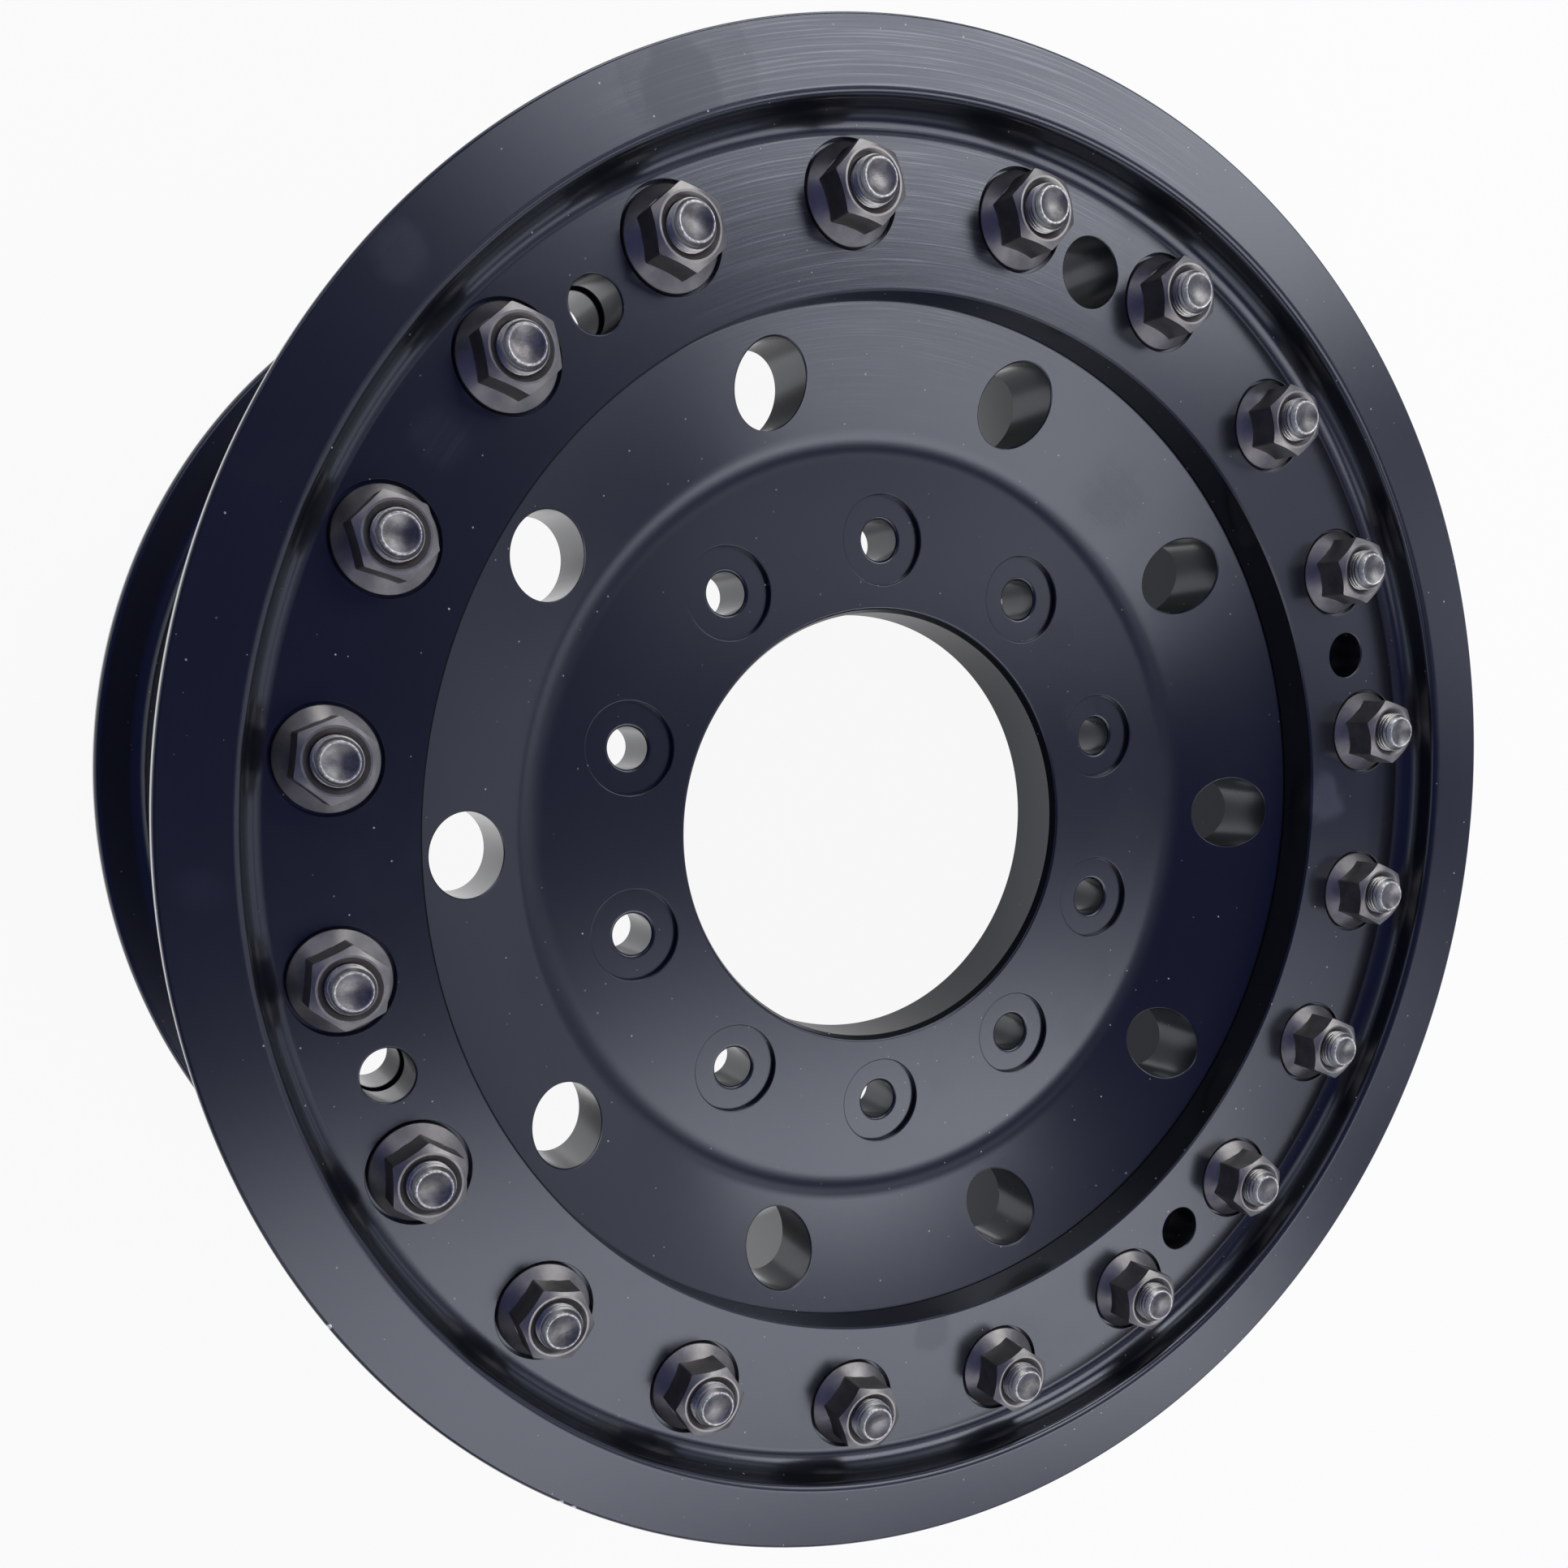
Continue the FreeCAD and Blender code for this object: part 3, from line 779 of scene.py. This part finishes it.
class Wire:
    # one socket, so that sums of sockets read as plain sums
    def __init__(self, nodes, socket):
        self.nodes = nodes
        self.socket = socket

    def beside(self, result):
        # another output of the same node
        return Wire(self.nodes, self.socket.node.outputs[result])

    def joined(self, operation, first, second):
        return self.nodes.node("ShaderNodeMath", {"operation": operation}, {0: first, 1: second})

    def __add__(self, other):
        return self.joined("ADD", self, other)

    def __radd__(self, other):
        return self.joined("ADD", other, self)

    def __sub__(self, other):
        return self.joined("SUBTRACT", self, other)

    def __rsub__(self, other):
        return self.joined("SUBTRACT", other, self)

    def __mul__(self, other):
        return self.joined("MULTIPLY", self, other)

    def __rmul__(self, other):
        return self.joined("MULTIPLY", other, self)

    def __truediv__(self, other):
        return self.joined("DIVIDE", self, other)

    def __rtruediv__(self, other):
        return self.joined("DIVIDE", other, self)


class Nodes:
    # the nodes of one material or of the world
    def __init__(self, tree):
        self.tree = tree

    def node(self, kind, settings=None, sockets=None, result=0):
        made = self.tree.nodes.new(kind)
        for key, value in (settings or {}).items():
            setattr(made, key, value)
        for key, value in (sockets or {}).items():
            self.feed(made.inputs[key], value)
        return Wire(self, made.outputs[result])

    def feed(self, socket, value):
        if isinstance(value, Wire):
            self.tree.links.new(value.socket, socket)
        elif isinstance(value, tuple) and len(value) == 3 and socket.type == "RGBA":
            socket.default_value = (*value, 1)
        else:
            socket.default_value = value

    def place(self, kind="Object"):
        return self.node("ShaderNodeTexCoord", result=kind)

    def apart(self, vector):
        first = self.node("ShaderNodeSeparateXYZ", {}, {0: vector})
        return first, first.beside(1), first.beside(2)

    def vector(self, x, y, z):
        return self.node("ShaderNodeCombineXYZ", {}, {0: x, 1: y, 2: z})

    def noise(self, vector, scale, detail, roughness):
        return self.node("ShaderNodeTexNoise", {}, {
            "Vector": vector, "Scale": scale, "Detail": detail, "Roughness": roughness})

    def step(self, value, low, high):
        # 0 below low, 1 above high, smooth between
        return self.node("ShaderNodeMapRange", {"interpolation_type": "SMOOTHSTEP"}, {
            "Value": value, "From Min": low, "From Max": high, "To Min": 0.0, "To Max": 1.0})

    def blend(self, factor, first, second):
        return self.node("ShaderNodeMix", {"data_type": "RGBA"}, {0: factor, 6: first, 7: second}, 2)

    def gap(self, first, second):
        return self.node("ShaderNodeVectorMath", {"operation": "DISTANCE"},
                         {0: first, 1: second}, "Value")

    def limit(self, value):
        return self.node("ShaderNodeClamp", {}, {"Value": value})

    def attribute(self, name):
        return self.node("ShaderNodeAttribute", {"attribute_name": name}, {}, "Fac")

    def bump(self, height, strength, distance=0.0002):
        return self.node("ShaderNodeBump", {}, {
            "Height": height, "Strength": strength, "Distance": distance})


class Paint(Nodes):
    # one material, its shader and its output
    def __init__(self, name):
        self.material = bpy.data.materials.new(name)
        self.material.use_nodes = True
        super().__init__(self.material.node_tree)
        self.tree.nodes.clear()
        self.surface = self.node("ShaderNodeBsdfPrincipled")
        self.output = self.tree.nodes.new("ShaderNodeOutputMaterial")
        self.show(self.surface)

    def show(self, shader):
        self.feed(self.output.inputs["Surface"], shader)

    def set(self, **values):
        for key, value in values.items():
            self.feed(self.surface.socket.node.inputs[key.replace("_", " ")], value)


# Finishes. A noise is given as scale, detail and roughness, and a reach as where a fade starts and
# ends. A name such as dustInRough says how strongly the dust shows in the roughness.

# Satin coat of the rim halves, with the turning marks of the metal showing through, and painted paler round
# one place on the lip as a painted highlight
coat = {
    "base": (0.035, 0.0394, 0.0482),
    "pale": (0.0482, 0.0526, 0.0613),
    "brushed": (0.125, 0.130, 0.145),
    "dulled": (0.03, 0.032, 0.042),
    "rubbed": (0.16, 0.165, 0.18),
    "bare": (0.62, 0.61, 0.58),
    "dust": (0.78, 0.74, 0.68),
    "metal": 0.84,
    "rough": 0.22,
    "gloss": 0.5,
    "turnMarks": 1500,      # turning marks per metre of radius
    "turnLength": 4,        # and how often they break up round the wheel
    "turnNoise": (1.0, 3, 0.6),
    "turnInColour": 0.3,
    "turnInRough": 0.04,
    "turnInRelief": 0.1,
    "cloudNoise": (8, 4, 0.6),
    "smudgeNoise": (13, 5, 0.7),
    "smudgeReach": (0.55, 0.72),
    "smudge": 0.06,
    "borderNoise": (70, 4, 0.65),
    "rubbedEvenly": 0.3,    # rubbed places are partly even and partly follow the marks
    "rubbedStreaks": 1.4,
    "dullInColour": 1.6,
    "dullInRough": 0.5,
    "grainNoise": (2400, 2, 0.5),
    "grainInRelief": 0.4,
    "specks": 220,          # cells of dust per metre
    "speckSize": 0.08,
    "speckSoft": 0.008,
    "speckShare": (0.2, 0.8),       # the faintest specks, and what is added up to the thickest
    "dustInColour": 0.7,
    "dustInMetal": 0.8,
    "dustInRough": 0.3,
    "chipReach": (0.0009, 0.0012),
    "chipRagged": 0.002,
    "brightSpot": (-0.02, 0.274, 0.08),     # the turning marks are painted paler on the lip round this place, a painted highlight
    "brightReach": (0.05, 0.15),
    "brightMarks": (0.50, 0.72),
    "brightInColour": 4,
    "brushedShare": 0.5,
    "wallMiddle": 0.0721,   # height of the middle of the lip's wall, where fewer marks show
    "wallReach": (0.0064, 0.0074),
    "flatInRelief": 0.3,
    "bump": 0.10,
}
# What hands and tools have left: place in metres, size, softness and raggedness of its border, and
# how far the coat is dulled or made paler there
rubbedMarks = [
    {"spot": (-0.102, 0.246, 0.0797), "size": 0.026, "soft": 0.003, "ragged": 0.006, "dull": 0.07},
    {"spot": (-0.105, 0.240, 0.0797), "size": 0.016, "soft": 0.004, "ragged": 0.010, "dull": 0.12},
    {"spot": (-0.196, 0.183, 0.0797), "size": 0.011, "soft": 0.006, "ragged": 0.012, "pale": 0.20},
    {"spot": (-0.183, 0.134, 0.0645), "size": 0.012, "soft": 0.008, "ragged": 0.010, "pale": 0.16},
    {"spot": (0.203, 0.006, 0.0645), "size": 0.013, "soft": 0.007, "ragged": 0.018, "pale": 0.50},
    {"spot": (0.003, -0.200, 0.0645), "size": 0.012, "soft": 0.006, "ragged": 0.014, "dull": 0.14},
    {"spot": (0.084, 0.071, 0.0265), "size": 0.014, "soft": 0.008, "ragged": 0.016, "dull": 0.18},
    {"spot": (0.099, 0.044, 0.0265), "size": 0.012, "soft": 0.008, "ragged": 0.016, "dull": 0.16},
    {"spot": (0.104, 0.133, 0.0356), "size": 0.020, "soft": 0.014, "ragged": 0.014, "dull": 0.10},
    {"spot": (-0.265, -0.001, 0.0797), "size": 0.010, "soft": 0.008, "ragged": 0.012, "pale": 0.14},
]
# Where the coat is chipped down to bare metal
chippedSpots = ((-0.2361, -0.1447, 0.0797), (-0.1612, -0.2256, 0.0797), (-0.1566, -0.2290, 0.0797))


def makeCoat():
    paint = Paint("coated_rim")
    place = paint.place()
    x, y, z = paint.apart(place)
    radius = paint.node("ShaderNodeMath", {"operation": "SQRT"}, {0: x * x + y * y})
    around = coat["turnLength"] / radius
    along = (radius + z) * coat["turnMarks"]
    turned = paint.noise(paint.vector(x * around, y * around, along), *coat["turnNoise"])
    offMiddle = paint.node("ShaderNodeMath", {"operation": "ABSOLUTE"}, {0: z - coat["wallMiddle"]})
    flat = paint.step(offMiddle, *coat["wallReach"])
    # painted highlight: round one place on the lip the turning marks are painted paler, as streaks of
    # caught light
    nearPaintedHighlight = 1 - paint.step(paint.gap(place, coat["brightSpot"]), *coat["brightReach"])
    paintedHighlight = nearPaintedHighlight * flat
    cloud = paint.noise(place, *coat["cloudNoise"])
    grain = paint.noise(place, *coat["grainNoise"])
    ragged = paint.noise(place, *coat["borderNoise"]) - 0.5
    smudged = paint.step(paint.noise(place, *coat["smudgeNoise"]), *coat["smudgeReach"])
    dull = smudged * coat["smudge"]
    pale = 0.0
    for mark in rubbedMarks:
        gap = paint.gap(place, mark["spot"]) + ragged * mark["ragged"]
        inside = 1 - paint.step(gap, mark["size"] - mark["soft"], mark["size"])
        streaked = inside * (coat["rubbedEvenly"] + turned * coat["rubbedStreaks"])
        if "dull" in mark:
            dull = dull + streaked * mark["dull"]
        else:
            pale = streaked * mark["pale"] + pale
    cell = paint.node("ShaderNodeTexVoronoi", {}, {"Vector": place, "Scale": coat["specks"]}, "Color")
    chance, thick = paint.apart(cell)[:2]
    reach = chance * chance * coat["speckSize"]
    faintest, added = coat["speckShare"]
    speck = 1 - paint.step(cell.beside("Distance") - reach, 0.0, coat["speckSoft"])
    dust = speck * (thick * added + faintest)
    chip = 0.0
    for spot in chippedSpots:
        gap = paint.gap(place, spot) + ragged * coat["chipRagged"]
        chip = 1 - paint.step(gap, *coat["chipReach"]) + chip
    # the turning marks, painted much paler where the painted highlight lies
    lines = (turned - 0.5) * (coat["turnInColour"] + paintedHighlight * coat["brightInColour"])
    brushed = paint.step(turned, *coat["brightMarks"]) * paintedHighlight * coat["brushedShare"]
    colour = paint.blend(cloud + lines, coat["base"], coat["pale"])
    colour = paint.blend(brushed, colour, coat["brushed"])
    colour = paint.blend(paint.limit(dull * coat["dullInColour"]), colour, coat["dulled"])
    colour = paint.blend(pale, colour, coat["rubbed"])
    colour = paint.blend(dust * coat["dustInColour"], colour, coat["dust"])
    colour = paint.blend(chip, colour, coat["bare"])
    rough = coat["rough"] + dull * coat["dullInRough"] + turned * coat["turnInRough"]
    relief = turned * (coat["turnInRelief"] + flat * coat["flatInRelief"] + paintedHighlight)
    relief = relief + grain * coat["grainInRelief"]
    paint.set(Base_Color=colour,
              Metallic=coat["metal"] - dust * coat["dustInMetal"],
              Roughness=rough + dust * coat["dustInRough"],
              Coat_Weight=coat["gloss"],
              Coat_Roughness=coat["rough"],
              Normal=paint.bump(relief, coat["bump"]))
    return paint.material


# Dark plated nuts, worn bright along the edges that the piece has marked
nutSteel = {
    "dark": (0.200, 0.190, 0.180),
    "pale": (0.300, 0.285, 0.265),
    "worn": (0.72, 0.70, 0.65),
    "metal": 0.9,
    "rough": 0.32,
    "cloudNoise": (95, 4, 0.6),
    "cloudReach": (0.3, 0.7),
    "cloudInRelief": 0.6,
    "edgeReach": (0.2, 0.8),
    "patchNoise": (340, 4, 0.7),    # worn and spared lengths of an edge
    "patchReach": (0.46, 0.62),
    "patchShare": (0.2, 0.75),      # what shines in a spared length, and what a worn one adds
    "shineInRough": 0.06,
    "grainNoise": (1800, 3, 0.6),
    "grainInRough": 0.12,
    "grainInRelief": 0.4,
    "bump": 0.16,
}


def makeNutSteel():
    paint = Paint("nut_steel")
    place = paint.place()
    spared, added = nutSteel["patchShare"]
    worn = paint.step(paint.attribute("worn"), *nutSteel["edgeReach"])
    patch = paint.step(paint.noise(place, *nutSteel["patchNoise"]), *nutSteel["patchReach"])
    cloud = paint.step(paint.noise(place, *nutSteel["cloudNoise"]), *nutSteel["cloudReach"])
    grain = paint.noise(place, *nutSteel["grainNoise"])
    shine = worn * (patch * added + spared)
    colour = paint.blend(cloud, nutSteel["dark"], nutSteel["pale"])
    colour = paint.blend(shine, colour, nutSteel["worn"])
    rough = nutSteel["rough"] + grain * nutSteel["grainInRough"] - shine * nutSteel["shineInRough"]
    relief = grain * nutSteel["grainInRelief"] + cloud * nutSteel["cloudInRelief"]
    paint.set(Base_Color=colour,
              Metallic=nutSteel["metal"],
              Roughness=rough,
              Normal=paint.bump(relief, nutSteel["bump"]))
    return paint.material


# Plated studs, with a scratched end and worn crests. The first four reaches are in millimetres.
studSteel = {
    "side": (0.34, 0.33, 0.31),
    "end": (0.23, 0.224, 0.215),
    "dark": (0.085, 0.082, 0.078),
    "worn": (0.72, 0.70, 0.65),
    "metal": 0.92,
    "rough": 0.26,
    "endReach": (5.3, 5.8),
    "rimReach": (5.5, 5.9),
    "tipReach": (0.3, 0.9),
    "crestReach": (7.75, 7.95),
    "crestShare": 0.5,
    "cloudNoise": (170, 4, 0.6),
    "cloudReach": (0.34, 0.66),
    "cloudOnEnd": 0.6,
    "cloudOverall": 0.2,
    "patchNoise": (900, 4, 0.8),
    "patchReach": (0.44, 0.58),
    "patchShare": (0.1, 0.9),       # what shines in a spared place, and what a worn one adds
    "grainNoise": (1600, 4, 0.7),
    "grainInRough": 0.16,
    "grainInRelief": 0.4,
    "rimInRough": 0.06,
    "scratchX": 700,
    "scratchSlant": 400,
    "scratchY": 3000,
    "scratchZ": 900,
    "scratchNoise": (1.0, 3, 0.7),
    "scratchInRelief": 0.6,
    "bump": 0.30,
    "bumpDepth": 0.0003,
}


def makeStudSteel():
    paint = Paint("stud_steel")
    place = paint.place()
    across = paint.attribute("across")
    below = paint.attribute("below")
    x, y, z = paint.apart(place)
    spared, added = studSteel["patchShare"]
    patch = paint.step(paint.noise(place, *studSteel["patchNoise"]), *studSteel["patchReach"])
    cloud = paint.step(paint.noise(place, *studSteel["cloudNoise"]), *studSteel["cloudReach"])
    grain = paint.noise(place, *studSteel["grainNoise"])
    slanted = x * studSteel["scratchX"] + y * studSteel["scratchSlant"]
    stretched = paint.vector(slanted, y * studSteel["scratchY"], z * studSteel["scratchZ"])
    scratch = paint.noise(stretched, *studSteel["scratchNoise"])
    end = 1 - paint.step(across, *studSteel["endReach"])
    nearTip = 1 - paint.step(below, *studSteel["tipReach"])
    rim = paint.step(across, *studSteel["rimReach"]) * nearTip * (patch * added + spared)
    crests = paint.step(across, *studSteel["crestReach"]) * patch * studSteel["crestShare"]
    dark = cloud * end * studSteel["cloudOnEnd"] + cloud * studSteel["cloudOverall"]
    colour = paint.blend(end, studSteel["side"], studSteel["end"])
    colour = paint.blend(dark, colour, studSteel["dark"])
    colour = paint.blend(rim + crests, colour, studSteel["worn"])
    rough = studSteel["rough"] + grain * studSteel["grainInRough"] + rim * studSteel["rimInRough"]
    relief = scratch * studSteel["scratchInRelief"] + grain * studSteel["grainInRelief"]
    paint.set(Base_Color=colour,
              Metallic=studSteel["metal"],
              Roughness=rough,
              Normal=paint.bump(relief, studSteel["bump"], studSteel["bumpDepth"]))
    return paint.material


# Matt black rubber of the seal
rubber = {
    "dark": (0.02, 0.02, 0.02),
    "pale": (0.04, 0.04, 0.04),
    "rough": 0.6,
    "grainNoise": (1500, 3, 0.6),
    "grainInRough": 0.2,
    "bump": 0.2,
}


def makeRubber():
    paint = Paint("seal_rubber")
    grain = paint.noise(paint.place(), *rubber["grainNoise"])
    paint.set(Base_Color=paint.blend(grain, rubber["dark"], rubber["pale"]),
              Roughness=rubber["rough"] + grain * rubber["grainInRough"],
              Normal=paint.bump(grain, rubber["bump"]))
    return paint.material


def dress(piece, material, slot, *nodes):
    piece.data.materials.clear()
    piece.data.materials.append(material)
    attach(piece, "root")
    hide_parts(*nodes)


# Camera, where the photograph was taken from
camera = {
    "place": (-0.31498, 0.05553, 0.56318),
    "turn": (-10.2227, -26.7711, -0.5474),
    "lens": 35.439,
    "sensor": 36,
    "shiftX": 0.00106,
    "shiftY": 0.12170,
    "near": 0.01,
    "far": 50,
}


def placeCamera():
    view = bpy.data.cameras.new("camera")
    view.lens = camera["lens"]
    view.sensor_width = camera["sensor"]
    view.shift_x = camera["shiftX"]
    view.shift_y = camera["shiftY"]
    view.clip_start = camera["near"]
    view.clip_end = camera["far"]
    holder = bpy.data.objects.new("camera", view)
    holder.location = camera["place"]
    holder.rotation_euler = [math.radians(turn) for turn in camera["turn"]]
    bpy.context.scene.collection.objects.link(holder)
    bpy.context.scene.camera = holder


# Floor and light
floor = {
    "size": 12,
    "colour": (0.9, 0.9, 0.9),
    "rough": 0.9,
    "seen": 0.93,           # how much of it is plain white for the camera and for mirrored rays
    "underWheel": 0.4,      # painted shade under the wheel: the share of that white which mirrored rays find there
    "shadeSpot": (0.07, 0.0, 0.0),      # middle of that patch of painted shade, and where it fades out
    "shadeReach": (0.12, 0.17),
}


def makeFloor():
    clearSelection()
    bpy.ops.mesh.primitive_plane_add(size=floor["size"], location=(0, 0, rearFoot * shrink))
    sheet = bpy.context.object
    sheet.name = "floor"
    paint = Paint("floor")
    paint.set(Base_Color=floor["colour"], Roughness=floor["rough"])
    glow = paint.node("ShaderNodeEmission", {}, {"Color": (1, 1, 1), "Strength": 1.0})
    direct = paint.node("ShaderNodeLightPath", {}, {}, "Is Camera Ray")
    mirrored = direct.beside("Is Glossy Ray")
    # mirrored rays find the floor's white dimmer under the wheel: a painted shadow standing in for the dark
    # inside the barrel
    reach = paint.gap(paint.place(), floor["shadeSpot"])
    paintedShadeFactor = paint.step(reach, *floor["shadeReach"]) * (1 - floor["underWheel"]) + floor["underWheel"]
    seen = (direct + mirrored * paintedShadeFactor) * floor["seen"]
    paint.show(paint.node("ShaderNodeMixShader", {}, {0: seen, 1: paint.surface, 2: glow}))
    sheet.data.materials.append(paint.material)


# Soft boxes: direction from the wheel, width and height in metres and power in watts
lamps = {
    "below": {"aim": (0.33, -0.45, 0.83), "wide": 1.87, "tall": 0.75, "power": 11.8},
    "belowFill": {"aim": (0.55, -0.24, 0.80), "wide": 1.40, "tall": 0.38, "power": 1.7},
    "above": {"aim": (0.48, 0.49, 0.73), "wide": 1.45, "tall": 0.78, "power": 13.6},
    "aboveFill": {"aim": (0.67, 0.28, 0.69), "wide": 1.1, "tall": 0.32, "power": 0.3},
    "middle": {"aim": (0.71, 0.10, 0.70), "wide": 0.8, "tall": 0.36, "power": 0.5},
    "right": {"aim": (0.87, -0.18, 0.43), "wide": 0.30, "tall": 1.7, "power": 1.5},
    "innerFill": {"aim": (0.49, 0.12, 0.86), "wide": 0.8, "tall": 0.30, "power": 0.65},
    "lowNear": {"aim": (0.10, -0.92, 0.36), "wide": 1.5, "tall": 0.60, "power": 3.0},
    "lowFar": {"aim": (0.10, 0.95, 0.30), "wide": 1.4, "tall": 0.50, "power": 9.3},
    "leftNear": {"aim": (-0.45, -0.60, 0.66), "wide": 0.9, "tall": 0.60, "power": 2.4},
    "leftFar": {"aim": (-0.45, 0.66, 0.60), "wide": 0.9, "tall": 0.60, "power": 2.0},
}
lampDistance = 2.2
# The room that the metal mirrors: a pale wall low down, and dim blue above it
room = {
    "low": (0.64, 0.70, 0.82),
    "high": (0.04, 0.05, 0.20),
    "fadeFrom": 0.20,
    "fadeTo": 0.36,
    "seen": (0.93, 0.93, 0.93),     # what the camera alone sees instead
}


def placeLamps():
    for name, lamp in lamps.items():
        light = bpy.data.lights.new(name, "AREA")
        light.shape = "RECTANGLE"
        light.size = lamp["wide"]
        light.size_y = lamp["tall"]
        light.energy = lamp["power"]
        holder = bpy.data.objects.new(name, light)
        aim = Vector(lamp["aim"]).normalized()
        across = (Vector((1, 0, 0)) - aim * aim.x).normalized()
        turn = Matrix((across, aim.cross(across), aim)).transposed()
        holder.location = aim * lampDistance
        holder.rotation_euler = turn.to_euler()
        holder.visible_camera = False
        bpy.context.scene.collection.objects.link(holder)


def makeRoom():
    sky = bpy.data.worlds.new("world")
    sky.use_nodes = True
    nodes = Nodes(sky.node_tree)
    height = nodes.apart(nodes.place("Generated"))[2]
    fade = nodes.node("ShaderNodeMapRange", {}, {
        "Value": height, "From Min": room["fadeFrom"], "From Max": room["fadeTo"]})
    mirrored = nodes.blend(fade, room["low"], room["high"])
    direct = nodes.node("ShaderNodeLightPath", {}, {}, "Is Camera Ray")
    background = sky.node_tree.nodes["Background"]
    nodes.feed(background.inputs["Color"], nodes.blend(direct, mirrored, room["seen"]))
    bpy.context.scene.world = sky


def makeFasteners(material, pattern, slot, prefix, node, height, turns=None):
    for index in range(studRing["count"]):
        word = str(index + 1).zfill(2)
        turn = math.radians(turns[index]) if turns else 0
        place = studPlace(index) + Vector((0, 0, height))
        matrix = Matrix.Translation(place) @ Matrix.Rotation(turn, 4, "Z")
        piece = copyTurned(pattern, prefix + word, matrix)
        intoFrame(piece)
        dress(piece, material, slot, node + word)
    bpy.data.objects.remove(pattern)


print("stage: floor, light and camera")
makeFloor()
placeLamps()
makeRoom()
placeCamera()
bpy.context.scene.view_settings.view_transform = "Standard"

print("stage: rim halves")
coatPaint = makeCoat()
frontHalf = makeFrontHalf()
dress(frontHalf, coatPaint, "coated_rim", "front_rim_half")
rearHalf = makeRearHalf()
dress(rearHalf, coatPaint, "coated_rim", "rear_rim_half")

print("stage: fasteners and seal")
makeFasteners(makeStudSteel(), makeStudPattern(), "stud_steel", "stud_end_", "stud_", landFoot)
makeFasteners(makeNutSteel(), makeNutPattern(), "nut_steel", "nut_body_", "flange_nut_", nutFoot, nutTurns)
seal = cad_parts["o_ring_seal"]
seal.data.materials.clear()
seal.data.materials.append(makeRubber())
